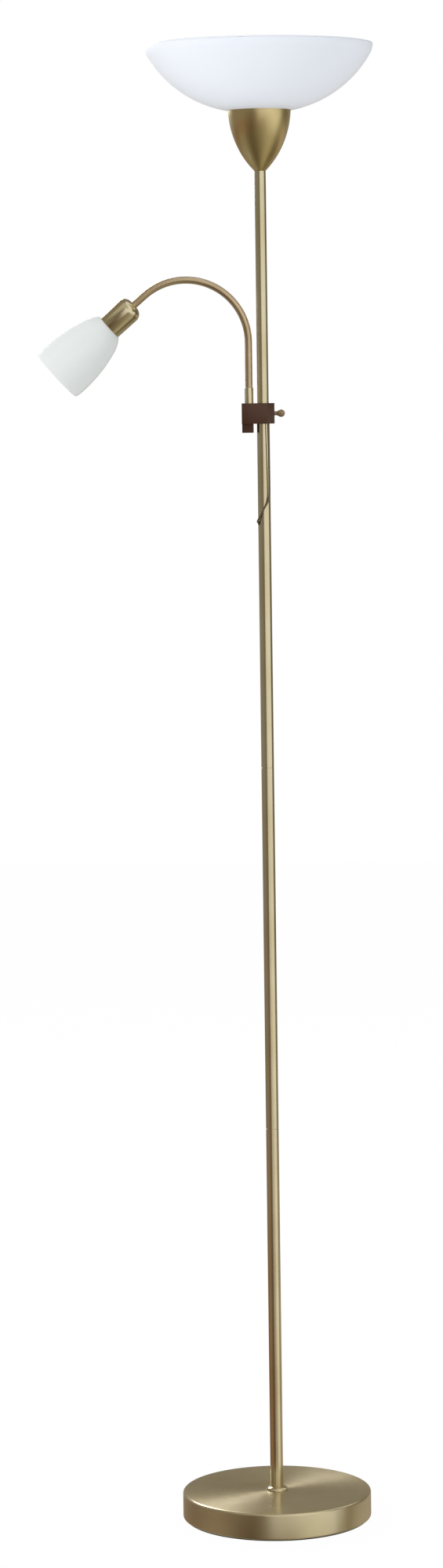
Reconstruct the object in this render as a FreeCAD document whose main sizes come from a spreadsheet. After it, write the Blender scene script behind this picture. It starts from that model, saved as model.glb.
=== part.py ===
import FreeCAD, Part
import math
import os
import re
import Sketcher

# Torchiere floor lamp with a reading light on a flexible arm
# Millimetres and degrees. The origin is the centre of the foot on the floor, +Z is up, the reading arm
# reaches out along -X and the front of the lamp faces -Y.

os.makedirs("parts", exist_ok=True)
doc = FreeCAD.newDocument("lamp")

# Driving sizes, one row each: alias, value, what it is
SIZES = [
    ("fit", 0.05, "gap on the radius between pieces that are pressed or screwed together"),
    ("running_fit", 0.08, "gap on the radius between pieces that turn or slide on each other"),
    ("seat_gap", 0.05, "gap between two seats that only just meet"),
    # foot
    ("base_radius", 115, "outside of the spun cover of the foot"),
    ("base_height", 33, "floor to the top face of the foot"),
    ("base_wall", 0.8, "sheet of the foot cover"),
    ("base_round", 3, "rounded top edge of the foot"),
    ("base_lift", 1.6, "floor to the rolled lower edge of the cover"),
    ("base_roll", 2.2, "radius of the rolled lower edge"),
    ("base_lip", 3.4, "how far the lower edge is rolled in"),
    ("weight_thickness", 15, "cast weight"),
    ("weight_gap", 0.6, "gap between the weight and the cover's wall"),
    ("tray_floor", 2, "floor of the tray under the weight"),
    ("tray_wall", 2, "upright rings of the tray"),
    ("tray_hub_radius", 22, "outside of the tray's middle ring"),
    ("inlet_bore", 3.2, "bore radius of the mains inlet"),
    ("inlet_body", 4.4, "radius of the mains inlet in the cover's hole"),
    ("inlet_head", 6, "radius of the mains inlet's outer head"),
    ("inlet_head_length", 2.2, "how far the inlet's head stands out of the foot"),
    ("inlet_length", 6, "mains inlet behind the cover's wall"),
    ("inlet_height", 9.5, "floor to the middle of the mains inlet"),
    ("inlet_slope", 1, "slope round the inlet's head"),
    ("lead_way_gap", 1, "tray's opening past the inlet"),
    ("collar_radius", 13.5, "domed collar at the foot of the pole"),
    ("collar_height", 4.5, "height of the domed collar"),
    ("collar_edge", 1.2, "height of the collar's outer edge"),
    ("collar_arc", 7.2, "radius of the collar's dome"),
    ("collar_rim", 0.5, "flat rim of the collar round the pole"),
    # fixings
    ("thread_radius", 5, "M10 threaded tube"),
    ("nipple_bore", 3.7, "bore radius of the threaded tubes"),
    ("nut_flats", 17, "across the flats of the M10 nuts"),
    ("nut_height", 5, "M10 nut"),
    ("thread_end", 0.5, "thread past its nut"),
    ("nipple_short", 1, "threaded tube's end below a lampholder's floor"),
    ("cup_nipple_clear", 2, "bush's foot to the end of the cup's threaded tube"),
    ("thin_nut_flats", 14, "across the flats of the thin nut in the cup"),
    ("thin_nut_height", 4, "thin nut in the cup"),
    ("spacer_radius", 6.6, "spacer under the thin nut"),
    ("spacer_height", 1.7, "spacer under the thin nut"),
    ("washer_radius", 15, "washer under the weight"),
    ("washer_thickness", 1.5, "washer under the weight"),
    # pole
    ("pole_radius", 7.8, "outside of the three lower tubes"),
    ("pole_wall", 1, "wall of the lower tubes"),
    ("pole_section", 442, "length of each lower tube"),
    ("stem_radius", 7, "outside of the upper tube"),
    ("stem_wall", 1, "wall of the upper tube"),
    ("stem_length", 287.5, "upper tube"),
    ("coupler_length", 40, "coupler inside a seam of the pole"),
    ("bush_length", 20, "threaded bush at an end of the pole"),
    ("step_flange", 1.5, "flange between the lower pole and the upper tube"),
    ("lead_radius", 2.3, "lead inside the pole"),
    # clamp and thumbscrew
    ("clamp_top", 1363.4, "floor to the top of the clamp"),
    ("clamp_height", 25.1, "clamp block"),
    ("clamp_leg", 11, "leg below the block"),
    ("clamp_left", 25.5, "pole axis to the left end"),
    ("clamp_right", 13.7, "pole axis to the right end"),
    ("clamp_half_depth", 14.5, "middle to the front face"),
    ("clamp_corner", 1.2, "rounded upright edges of the clamp"),
    ("clamp_bevel_start", 5.7, "pole axis to where the right corners are cut off"),
    ("clamp_bevel_depth", 6.5, "depth of the cut right corners"),
    ("leg_width", 13.3, "leg along X"),
    ("leg_half_depth", 8.5, "leg along Y"),
    ("sleeve_wall", 1.5, "split sleeve between the clamp and the pole"),
    ("sleeve_flange", 1.3, "flange that carries the clamp"),
    ("sleeve_flange_width", 0.9, "how far the sleeve's flange stands out"),
    ("sleeve_slit", 1.6, "slit of the split sleeve"),
    ("sleeve_drop", 1, "sleeve's top below the clamp's"),
    ("screw_radius", 2.5, "thumbscrew"),
    ("screw_pad", 1.2, "pressure pad at the thumbscrew's tip"),
    ("screw_neck", 2.4, "bare shank outside the clamp"),
    ("paddle_overlap", 0.6, "grip's root inside the shank"),
    ("paddle_length", 11, "flat grip of the thumbscrew"),
    ("paddle_root", 2.4, "half height of the grip at its root"),
    ("paddle_half_height", 4.6, "half height of the grip near its tip"),
    ("paddle_thickness", 3.4, "thickness of the grip"),
    # flexible arm
    ("arm_offset", 17, "pole axis to the arm's upright part"),
    ("arm_radius", 4.5, "outside of the ribbed arm"),
    ("arm_bore", 2.5, "bore radius of the arm"),
    ("arm_upright", 55.6, "straight length of the arm above its ferrule"),
    ("arm_bend_radius", 77, "curve of the arm's middle line"),
    ("arm_turn", 131, "angle that the arm turns through"),
    ("arm_tail", 16.5, "straight end of the arm at the head"),
    ("arm_links", 9, "lengths that the arm bends between"),
    ("arm_end_link", 13, "ferrule or head to the nearest bending point"),
    ("rib_pitch", 1.25, "one turn of the wound arm"),
    ("rib_depth", 0.3, "depth of the groove between two turns"),
    ("ball_radius", 3.9, "ball end of a link"),
    ("ball_gap", 0.2, "gap around the ball end"),
    ("ball_neck", 3.3, "neck behind the ball"),
    ("link_rim", 1.0, "ball centre to the rim that goes round it"),
    ("link_shoulder", 1.2, "ball centre to the shoulder behind it"),
    ("ferrule_radius", 5.3, "ferrule at the foot of the arm"),
    ("ferrule_height", 19.5, "ferrule above the clamp"),
    ("ferrule_depth", 12, "ferrule inside the clamp"),
    ("ferrule_socket", 11.7, "arm inside the ferrule"),
    ("ferrule_slope", 0.5, "width of the ferrule's broken top edge"),
    ("ferrule_round", 0.8, "height of the ferrule's broken top edge"),
    ("cord_radius", 1.2, "reading light's lead"),
    ("cord_gap", 0.3, "gap around the lead in its channel"),
    ("cord_exit_x", 6.3, "pole axis to the lead's exit, to the right"),
    ("cord_exit_y", 10.8, "pole axis to the lead's exit, to the front"),
    ("cord_channel_y", 12.1, "pole axis to the channel in the clamp's front wall"),
    ("cord_channel_rise", 8, "channel above the block's underside"),
    ("gland_drop", 121.8, "clamp block's underside down to the lead's hole in the pole"),
    ("gland_angle", 147, "direction of the lead's hole, from +X through -Y"),
    ("gland_body", 2.1, "radius of the grommet in the pole's hole"),
    ("gland_head", 2.5, "radius of the grommet's head"),
    ("gland_head_height", 0.4, "height of the grommet's head"),
    ("gland_slope", 0.3, "slope round the grommet's head"),
    ("gland_inside", 0.6, "grommet past the pole's inner face"),
    ("gland_bore_gap", 0.35, "gap around the lead in its grommet"),
    ("cord_turn_in", 2.3, "pole's surface to the lead's bend into its hole"),
    ("cord_end", 2.6, "lead's end past the pole's inner face"),
    # reading head, along its own axis from the back of its cup
    ("head_radius", 16.4, "outside of the head's cup"),
    ("head_length", 41, "length of the head's cup"),
    ("head_wall", 0.8, "sheet of the head's cup"),
    ("head_round", 11, "rounded back of the head's cup"),
    ("head_thread", 4, "threaded end of the arm"),
    ("head_nut_flats", 11, "across the flats of the nut in the head"),
    ("head_nut_height", 4, "nut in the head"),
    ("head_spigot", 6, "head's threaded tube inside the arm"),
    ("shade_neck_radius", 17.6, "neck of the reading shade"),
    ("shade_shoulder_radius", 27.4, "shade where its shoulder ends"),
    ("shade_shoulder_length", 16, "neck to the end of the shoulder"),
    ("shade_shoulder_arc", 42, "radius of the shoulder's curve"),
    ("shade_belly_radius", 37.6, "widest part of the shade"),
    ("shade_belly_length", 76, "neck to the widest part"),
    ("shade_belly_arc", 190, "radius of the shade's long curve"),
    ("shade_mouth_radius", 36.2, "mouth of the shade"),
    ("shade_length", 87.5, "neck to mouth"),
    ("shade_mouth_arc", 44, "radius of the curve into the mouth"),
    ("shade_wall", 2.8, "glass of the reading shade"),
    # cup and bowl
    ("cup_foot_radius", 7.4, "foot of the spun cup"),
    ("cup_flank_radius", 22, "cup where its cone ends"),
    ("cup_flank_height", 19.2, "height of the cup's cone"),
    ("cup_mouth_radius", 38.5, "mouth of the cup"),
    ("cup_height", 74.2, "height of the cup"),
    ("cup_arc", 115, "radius of the cup's curve"),
    ("cup_wall", 0.9, "sheet of the cup"),
    ("bowl_foot_radius", 39.6, "flat underside of the bowl"),
    ("bowl_side_radius", 137.5, "bowl where the long curve ends"),
    ("bowl_side_height", 69.7, "underside to the end of the long curve"),
    ("bowl_arc", 140.4, "radius of the long curve"),
    ("bowl_rim_arc", 30, "radius of the curve below the rim"),
    ("bowl_rim_radius", 140, "rim of the bowl"),
    ("bowl_height", 81, "underside to rim"),
    ("bowl_wall", 3.6, "glass of the bowl"),
    ("rim_round", 1.2, "rounded glass rims"),
    # lampholders: skirt radius and heights, from the holder's foot
    ("large_skirt", 19.5, "skirt of the large lampholder"),
    ("large_skirt_wall", 2.6, "wall of the skirt"),
    ("large_foot", 11, "foot radius of the large lampholder"),
    ("large_shoulder", 7, "foot to shoulder"),
    ("large_floor", 10, "floor of the lampholder"),
    ("large_above_glass", 11, "skirt above the glass"),
    ("large_flange", 24, "flange under the glass"),
    ("large_flange_thickness", 2.8, "flange under the glass"),
    ("large_glass_gap", 0.6, "skirt to the hole in the bowl"),
    ("large_shell", 14, "threaded shell"),
    ("large_shell_length", 26, "threaded shell"),
    ("large_insert", 12, "insert that carries the shell and contact"),
    ("large_gap_below", 5.3, "thin nut to the large lampholder's foot"),
    ("small_skirt", 13.9, "skirt of the small lampholder"),
    ("small_skirt_wall", 2.2, "wall of the skirt"),
    ("small_foot", 9, "foot radius of the small lampholder"),
    ("small_shoulder", 4.5, "foot to shoulder"),
    ("small_floor", 6, "floor of the lampholder"),
    ("small_above_glass", 7, "skirt past the neck of the glass"),
    ("small_glass_gap", 0.4, "skirt to the hole in the shade"),
    ("small_shell", 7.7, "threaded shell"),
    ("small_shell_length", 17, "threaded shell"),
    ("small_insert", 8, "insert that carries the shell and contact"),
    ("small_gap_behind", 6, "back of the cup to the lampholder's foot"),
    ("shell_wall", 0.4, "sheet of the threaded shells"),
    ("shell_seat", 3, "how deep a shell sits in its insert"),
    ("contact_height", 2.6, "middle contact"),
    ("ring_height", 5.2, "large shade ring"),
    ("ring_width", 5.2, "width of the large shade ring"),
    ("small_ring_foot", 1, "small shade ring at its foot"),
    ("small_ring_width", 3, "small shade ring at its top"),
    ("small_ring_height", 4.68, "small shade ring"),
    # bulbs
    ("large_bulb", 30, "radius of the large bulb"),
    ("large_bulb_length", 113, "length of the large bulb"),
    ("large_cap", 13.2, "radius of the large bulb's cap"),
    ("large_cap_length", 26, "large bulb's cap"),
    ("small_bulb", 22.5, "radius of the small bulb"),
    ("small_bulb_length", 78, "length of the small bulb"),
    ("small_cap", 6.9, "radius of the small bulb's cap"),
    ("small_cap_length", 20, "small bulb's cap"),
    ("bulb_wall", 1, "glass of the bulbs"),
    ("bulb_neck_gap", 0.1, "bulb glass inside its cap's outline"),
    ("bulb_neck_flare", 0.6, "how far the bulb's neck widens before its ball"),
    ("cap_wall", 0.5, "sheet of the bulb caps"),
]

sheet = doc.addObject("Spreadsheet::Sheet", "Sizes")
for row, (alias, number, meaning) in enumerate(SIZES, start=1):
    sheet.set(f"A{row}", alias)
    sheet.set(f"B{row}", str(number))
    sheet.set(f"C{row}", meaning)
    sheet.setAlias(f"B{row}", alias)
doc.recompute()

FUNCTIONS = {"sin", "cos", "tan", "atan", "sqrt", "deg"}
nodes = []


def linked(expression):
    """the expression with every alias pointing into the sheet"""
    return re.sub(
        r"[a-z][a-z_]*",
        lambda word: word.group() if word.group() in FUNCTIONS else f"Sizes.{word.group()}",
        str(expression),
    )


def value(expression):
    """the number that an expression of sizes gives"""
    return float(sheet.evalExpression(linked(expression)))


def node(feature, name):
    """names a finished sub-part, which is then written under that name"""
    feature.Label = name
    nodes.append(feature)
    return feature


def new_body(name):
    body = doc.addObject("PartDesign::Body", name + "_body")
    return body


def new_sketch(body, name, plane):
    sketch = body.newObject("Sketcher::SketchObject", name)
    origin = [f for f in body.Origin.OriginFeatures if f.Role == plane][0]
    sketch.AttachmentSupport = [(origin, "")]
    sketch.MapMode = "FlatFace"
    return sketch


def fix_point(sketch, geometry, end, across, up):
    """holds a point of the sketch at two expressions from the origin"""
    for kind, axis, expression in (("DistanceX", -2, across), ("DistanceY", -1, up)):
        number = value(expression)
        if abs(number) < 1e-9:
            sketch.addConstraint(Sketcher.Constraint("PointOnObject", geometry, end, axis))
            continue
        held = sketch.addConstraint(Sketcher.Constraint(kind, -1, 1, geometry, end, number))
        sketch.setExpression(f"Constraints[{held}]", linked(expression))


def arc_between(start, finish, radius, side):
    """an arc from start to finish, its centre to the left (side 1) or right (side -1) of the way"""
    chord = finish - start
    height = math.sqrt(radius**2 - (chord.Length / 2) ** 2)
    left = FreeCAD.Vector(-chord.y, chord.x, 0).normalize()
    centre = (start + finish) / 2 + left * height * side
    first, last = (start, finish) if side > 0 else (finish, start)
    angles = [math.atan2(p.y - centre.y, p.x - centre.x) for p in (first, last)]
    circle = Part.Circle(centre, FreeCAD.Vector(0, 0, 1), radius)
    return Part.ArcOfCircle(circle, angles[0], angles[1])


def draw_outline(sketch, corners):
    """a closed outline of (across, up) corners; a third and fourth entry bend the edge that follows
    into an arc of that radius, with its centre to the left (1) or right (-1)"""
    points = [FreeCAD.Vector(value(c[0]), value(c[1]), 0) for c in corners]
    ends = []
    for i, corner in enumerate(corners):
        start, finish = points[i], points[(i + 1) % len(points)]
        if len(corner) > 2:
            arc = arc_between(start, finish, value(corner[2]), corner[3])
            edge = sketch.addGeometry(arc, False)
            held = sketch.addConstraint(Sketcher.Constraint("Radius", edge, value(corner[2])))
            sketch.setExpression(f"Constraints[{held}]", linked(corner[2]))
            ends.append((edge, 1, 2) if corner[3] > 0 else (edge, 2, 1))
        else:
            edge = sketch.addGeometry(Part.LineSegment(start, finish), False)
            ends.append((edge, 1, 2))
    for i, (edge, first, last) in enumerate(ends):
        following = ends[(i + 1) % len(ends)]
        sketch.addConstraint(Sketcher.Constraint("Coincident", edge, last, following[0], following[1]))
        fix_point(sketch, edge, first, corners[i][0], corners[i][1])


def draw_circle(sketch, across, up, radius):
    centre = FreeCAD.Vector(value(across), value(up), 0)
    circle = Part.Circle(centre, FreeCAD.Vector(0, 0, 1), value(radius))
    edge = sketch.addGeometry(circle, False)
    held = sketch.addConstraint(Sketcher.Constraint("Radius", edge, value(radius)))
    sketch.setExpression(f"Constraints[{held}]", linked(radius))
    fix_point(sketch, edge, 3, across, up)


def axis_of(sketch, name):
    return (sketch, [name])


def spin(body, corners):
    """turns an outline of (radius, height) corners round Z"""
    sketch = new_sketch(body, body.Name + "_outline", "XZ_Plane")
    draw_outline(sketch, corners)
    turned = body.newObject("PartDesign::Revolution", body.Name + "_turned")
    turned.Profile = sketch
    turned.ReferenceAxis = axis_of(sketch, "V_Axis")
    turned.Angle = 360
    doc.recompute()
    return turned


def pad(body, draw, length, plane="XY_Plane", name="block", shift=None, symmetric=False):
    """raises what draw puts in a new sketch, which can be shifted along the plane's normal"""
    sketch = new_sketch(body, f"{body.Name}_{name}_sketch", plane)
    if shift is not None:
        sketch.setExpression("AttachmentOffset.Base.z", linked(shift))
    draw(sketch)
    raised = body.newObject("PartDesign::Pad", f"{body.Name}_{name}")
    raised.Profile = sketch
    raised.setExpression("Length", linked(length))
    raised.SideType = "Symmetric" if symmetric else "One side"
    doc.recompute()
    return raised


def pocket(body, draw, length, plane="XY_Plane", name="hole", shift=None, reverse=False, both=False):
    """cuts what draw puts in a new sketch; the body's volume shows that something was cut"""
    before = body.Shape.Volume
    sketch = new_sketch(body, f"{body.Name}_{name}_sketch", plane)
    if shift is not None:
        sketch.setExpression("AttachmentOffset.Base.z", linked(shift))
    draw(sketch)
    cut = body.newObject("PartDesign::Pocket", f"{body.Name}_{name}")
    cut.Profile = sketch
    cut.setExpression("Length", linked(length))
    cut.Reversed = reverse
    cut.SideType = "Symmetric" if both else "One side"
    doc.recompute()
    if body.Shape.Volume > before - 1e-6:
        raise ValueError(f"{cut.Name} cuts nothing")
    return cut


def flat_face(feature, height):
    """name of the feature's largest flat face at that height"""
    found = []
    for number, face in enumerate(feature.Shape.Faces, start=1):
        box = face.BoundBox
        if box.ZLength < 1e-6 and abs(box.ZMin - value(height)) < 1e-3:
            found.append((face.Area, f"Face{number}"))
    return max(found)[1]


def hollow(body, feature, open_height, wall):
    """makes a sheet or glass wall of a solid that is open at one end"""
    shell = body.newObject("PartDesign::Thickness", body.Name + "_wall")
    shell.Base = (feature, [flat_face(feature, open_height)])
    shell.setExpression("Value", linked(wall))
    shell.Reversed = True
    shell.Mode = 0
    shell.Join = 0
    doc.recompute()
    if shell.Shape.Volume > feature.Shape.Volume:
        raise ValueError(f"{body.Name} grew outwards")
    return shell


def lift(feature, height):
    """stands a sub-part at a height"""
    feature.setExpression("Placement.Base.z", linked(height))


def tube(name, outer, inner, bottom, length):
    """a plain tube or ring standing on Z"""
    body = new_body(name)

    def rings(sketch):
        draw_circle(sketch, 0, 0, outer)
        draw_circle(sketch, 0, 0, inner)

    pad(body, rings, length)
    lift(body, bottom)
    return node(body, name)


def hex_nut(name, flats, height, bore):
    """a hexagonal nut, its lower face at height 0"""
    body = new_body(name)

    def hexagon(sketch):
        corners = []
        for corner in range(6):
            turn = f"{60 * corner + 30} deg"
            reach = f"{flats} / 2 / cos(30 deg)"
            corners.append((f"{reach} * cos({turn})", f"{reach} * sin({turn})"))
        draw_outline(sketch, corners)
        draw_circle(sketch, 0, 0, bore)

    pad(body, hexagon, height)
    return node(body, name)


# Foot


def base_cover():
    body = new_body("base_cover")
    top = "base_height"
    low = "base_lift"
    rim = "base_radius"
    spin(
        body,
        [
            ("thread_radius + fit", top),
            ("thread_radius + fit", f"{top} - base_wall"),
            (f"{rim} - base_round", f"{top} - base_wall", "base_round - base_wall", -1),
            (f"{rim} - base_wall", f"{top} - base_round"),
            (f"{rim} - base_wall", f"{low} + base_roll", "base_roll - base_wall", -1),
            (f"{rim} - base_roll", f"{low} + base_wall"),
            (f"{rim} - base_lip", f"{low} + base_wall"),
            (f"{rim} - base_lip", low),
            (f"{rim} - base_roll", low, "base_roll", 1),
            (rim, f"{low} + base_roll"),
            (rim, f"{top} - base_round", "base_round", 1),
            (f"{rim} - base_round", top),
        ],
    )
    pocket(
        body,
        lambda sketch: draw_circle(sketch, 0, "inlet_height", "inlet_body + fit"),
        "base_radius",
        plane="XZ_Plane",
        name="inlet_hole",
    )
    return node(body, "base_cover")


def base_weight():
    body = new_body("base_weight")
    rim = "base_radius - base_wall - weight_gap"
    top = "base_height - base_wall - seat_gap"
    low = f"{top} - weight_thickness"
    spin(
        body,
        [
            ("thread_radius + fit", low),
            (rim, low),
            (rim, f"{top} - base_round"),
            (f"{rim} - base_round", top),
            ("thread_radius + fit", top),
        ],
    )
    return node(body, "base_weight")


WEIGHT_BOTTOM = "(base_height - base_wall - seat_gap - weight_thickness)"


def base_tray():
    body = new_body("base_tray")
    edge = "base_radius - base_lip - fit"
    ring = "base_radius - base_lip - tray_wall - 2 * fit"
    top = f"{WEIGHT_BOTTOM} - seat_gap"
    spin(
        body,
        [
            (0, 0),
            (edge, 0),
            (edge, "base_lift + base_wall"),
            (ring, "base_lift + base_wall"),
            (ring, top),
            (f"{ring} - tray_wall", top),
            (f"{ring} - tray_wall", "tray_floor"),
            ("tray_hub_radius", "tray_floor"),
            ("tray_hub_radius", top),
            ("tray_hub_radius - tray_wall", top),
            ("tray_hub_radius - tray_wall", "tray_floor"),
            (0, "tray_floor"),
        ],
    )

    def lead_way(sketch):
        half = "(inlet_body + lead_way_gap)"
        high = "(inlet_height + inlet_body + lead_way_gap)"
        draw_outline(
            sketch,
            [
                (f"-{half}", "tray_floor"),
                (half, "tray_floor"),
                (half, high),
                (f"-{half}", high),
            ],
        )

    pocket(body, lead_way, "base_radius", plane="XZ_Plane", name="lead_way")
    return node(body, "base_tray")


def base_fixings():
    washer_bottom = f"{WEIGHT_BOTTOM} - seat_gap - washer_thickness"
    tube("base_washer", "washer_radius", "thread_radius + fit", washer_bottom, "washer_thickness")
    nut = hex_nut("base_nut", "nut_flats", "nut_height", "thread_radius + fit")
    lift(nut, f"{washer_bottom} - nut_height")
    nipple_bottom = f"({washer_bottom} - nut_height - thread_end)"
    nipple_length = f"base_height + bush_length - {nipple_bottom}"
    tube("base_nipple", "thread_radius", "nipple_bore", nipple_bottom, nipple_length)


def mains_inlet():
    """a grommet in the back of the foot, turned on its own axis"""
    body = new_body("mains_inlet")
    wall_outside = "inlet_length + base_wall"
    spin(
        body,
        [
            ("inlet_bore", 0),
            ("inlet_body", 0),
            ("inlet_body", wall_outside),
            ("inlet_head", f"{wall_outside} + fit"),
            ("inlet_head - inlet_slope", f"{wall_outside} + inlet_head_length"),
            ("inlet_bore", f"{wall_outside} + inlet_head_length"),
        ],
    )
    turn = FreeCAD.Rotation(FreeCAD.Vector(1, 0, 0), -90)
    seat = value("base_radius - base_wall - inlet_length")
    body.Placement = FreeCAD.Placement(FreeCAD.Vector(0, seat, value("inlet_height")), turn)
    return node(body, "mains_inlet")


def foot_collar():
    body = new_body("foot_collar")
    bore = "pole_radius + fit"
    spin(
        body,
        [
            (bore, 0),
            ("collar_radius", 0),
            ("collar_radius", "collar_edge", "collar_arc", 1),
            (f"{bore} + collar_rim", "collar_height"),
            (bore, "collar_height"),
        ],
    )
    lift(body, "base_height")
    return node(body, "foot_collar")


# Pole

POLE_TOP = "(base_height + 3 * pole_section)"
STEM_BOTTOM = f"({POLE_TOP} + step_flange)"
STEM_TOP = f"({STEM_BOTTOM} + stem_length)"


def pole():
    inner = "pole_radius - pole_wall"
    for section in range(3):
        name = f"pole_tube_{section + 1}"
        bottom = f"base_height + {section} * pole_section"
        if section == 2:
            drilled_tube(name, bottom)
            continue
        tube(name, "pole_radius", inner, bottom, "pole_section")
    for seam in (1, 2):
        middle = f"base_height + {seam} * pole_section"
        bottom = f"{middle} - coupler_length / 2"
        tube(f"pole_coupler_{seam}", f"{inner} - fit", "nipple_bore", bottom, "coupler_length")
    tube("pole_foot_bush", f"{inner} - fit", "thread_radius + fit", "base_height", "bush_length")


CLAMP_BOTTOM = "(clamp_top - clamp_height)"
GLAND_HEIGHT = f"({CLAMP_BOTTOM} - gland_drop)"


def gland_direction():
    angle = math.radians(value("gland_angle"))
    return FreeCAD.Vector(math.cos(angle), -math.sin(angle), 0)


def drilled_tube(name, bottom):
    """the upper of the three lower tubes, with the hole that the reading light's lead goes in by"""
    body = new_body(name)

    def rings(sketch):
        draw_circle(sketch, 0, 0, "pole_radius")
        draw_circle(sketch, 0, 0, "pole_radius - pole_wall")

    pad(body, rings, "pole_section")
    lift(body, bottom)
    drill = doc.addObject("Part::Cylinder", name + "_drill")
    drill.setExpression("Radius", linked("gland_body + fit"))
    drill.setExpression("Height", linked("2 * pole_radius"))
    facing = FreeCAD.Rotation(FreeCAD.Vector(0, 0, 1), gland_direction())
    drill.Placement = FreeCAD.Placement(FreeCAD.Vector(0, 0, value(GLAND_HEIGHT)), facing)
    cut = doc.addObject("Part::Cut", name + "_cut")
    cut.Base = body
    cut.Tool = drill
    return node(cut, name)


def pole_step():
    """joins the upper tube to the lower pole, with a flange that hides the step"""
    body = new_body("pole_step")
    lower = "pole_radius - pole_wall - fit"
    upper = "stem_radius - stem_wall - fit"
    spin(
        body,
        [
            ("nipple_bore", "-bush_length"),
            (lower, "-bush_length"),
            (lower, 0),
            ("pole_radius", 0),
            ("pole_radius", "step_flange"),
            (upper, "step_flange"),
            (upper, "step_flange + bush_length"),
            ("nipple_bore", "step_flange + bush_length"),
        ],
    )
    lift(body, POLE_TOP)
    return node(body, "pole_step")


def stem():
    inner = "stem_radius - stem_wall"
    tube("upper_tube", "stem_radius", inner, STEM_BOTTOM, "stem_length")
    bush_bottom = f"{STEM_TOP} - bush_length"
    tube("upper_bush", f"{inner} - fit", "thread_radius + fit", bush_bottom, "bush_length")


# Cup, bowl and upper lampholder

CUP_FLOOR = f"({STEM_TOP} + cup_wall)"
BOWL_BOTTOM = f"({STEM_TOP} + cup_height)"
HOLDER_FOOT = f"({CUP_FLOOR} + spacer_height + thin_nut_height + 2 * seat_gap + large_gap_below)"
HOLDER_RISE = f"({BOWL_BOTTOM} - seat_gap - {HOLDER_FOOT})"


def cup():
    body = new_body("cup")
    shape = spin(
        body,
        [
            (0, 0),
            ("cup_foot_radius", 0),
            ("cup_flank_radius", "cup_flank_height", "cup_arc", 1),
            ("cup_mouth_radius", "cup_height"),
            (0, "cup_height"),
        ],
    )
    hollow(body, shape, "cup_height", "cup_wall")
    pocket(
        body,
        lambda sketch: draw_circle(sketch, 0, 0, "thread_radius + fit"),
        "cup_flank_height",
        name="nipple_hole",
        reverse=True,
    )
    lift(body, STEM_TOP)
    return node(body, "cup")


def cup_fixings():
    bottom = f"{STEM_TOP} - bush_length + cup_nipple_clear"
    top = f"({HOLDER_FOOT} + large_floor - nipple_short)"
    length = f"{top} - ({bottom})"
    tube("cup_nipple", "thread_radius", "nipple_bore", bottom, length)
    nut = hex_nut("cup_nut", "thin_nut_flats", "thin_nut_height", "thread_radius + fit")
    lift(nut, f"{CUP_FLOOR} + spacer_height + 2 * seat_gap")
    spacer_bottom = f"{CUP_FLOOR} + seat_gap"
    tube("cup_spacer", "spacer_radius", "thread_radius + fit", spacer_bottom, "spacer_height")


def glass_walls(outline, wall, hole):
    """outline of a glass shade cut through from its middle hole to its rim: the given (radius, height,
    radius of the arc that follows) corners outside, the same corners less the wall inside"""
    outside = [(radius, height, arc, 1) for radius, height, arc in outline[:-1]]
    outside.append(outline[-1][:2])
    inside = []
    for (radius, height, _), (_, _, arc) in zip(outline[:0:-1], outline[-2::-1]):
        inside.append((f"{radius} - {wall}", height, f"{arc} - {wall}", -1))
    foot = (f"{outline[0][0]} - {wall} / 2", wall)
    return [(hole, 0)] + outside + inside + [foot, (hole, wall)]


def bowl():
    body = new_body("bowl")
    outline = [
        ("bowl_foot_radius", "0", "bowl_arc"),
        ("bowl_side_radius", "bowl_side_height", "bowl_rim_arc"),
        ("bowl_rim_radius", "bowl_height", None),
    ]
    spin(body, glass_walls(outline, "bowl_wall", "large_skirt + large_glass_gap"))
    rounded_rim(body, "bowl_height")
    lift(body, BOWL_BOTTOM)
    return node(body, "bowl")


def rounded_rim(body, height):
    """rounds both edges of a glass rim"""
    feature = body.Tip
    names = []
    for number, edge in enumerate(feature.Shape.Edges, start=1):
        box = edge.BoundBox
        flat = box.ZLength < 1e-6 and abs(box.ZMin - value(height)) < 1e-3
        if flat and isinstance(edge.Curve, Part.Circle):
            names.append(f"Edge{number}")
    rounded = body.newObject("PartDesign::Fillet", body.Name + "_rim")
    rounded.Base = (feature, names)
    rounded.setExpression("Radius", linked("rim_round"))
    doc.recompute()


def holder(name, size, rise, flange):
    """a lampholder's plastic body, from its foot; rise is the height of the glass seat"""
    body = new_body(name)
    skirt = f"{size}_skirt"
    bore = f"{skirt} - {size}_skirt_wall"
    thread = "thread_radius" if size == "large" else "head_thread"
    glass = "bowl_wall" if size == "large" else "shade_wall"
    top = f"{rise} + {glass} + {size}_above_glass"
    corners = [
        (f"{thread} + fit", 0),
        (f"{size}_foot", 0),
        (skirt, f"{size}_shoulder"),
    ]
    if flange:
        corners += [
            (skirt, f"{rise} - large_flange_thickness"),
            ("large_flange", f"{rise} - large_flange_thickness"),
            ("large_flange", rise),
            (skirt, rise),
        ]
    corners += [
        (skirt, top),
        (bore, top),
        (bore, f"{size}_floor"),
        (f"{thread} + fit", f"{size}_floor"),
    ]
    spin(body, corners)
    return node(body, name)


def insert(name, size):
    """carries the threaded shell and the middle contact, standing on the holder's floor"""
    body = new_body(name)
    outside = f"{size}_skirt - {size}_skirt_wall - fit"
    seat = f"{size}_shell + fit"
    thick = f"{size}_insert"
    spin(
        body,
        [
            (0, 0),
            (outside, 0),
            (outside, thick),
            (seat, thick),
            (seat, f"{thick} - shell_seat"),
            (0, f"{thick} - shell_seat"),
        ],
    )
    return node(body, name)


def shell(name, size):
    body = new_body(name)

    def rings(sketch):
        draw_circle(sketch, 0, 0, f"{size}_shell")
        draw_circle(sketch, 0, 0, f"{size}_shell - shell_wall")

    pad(body, rings, f"{size}_shell_length")
    return node(body, name)


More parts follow.
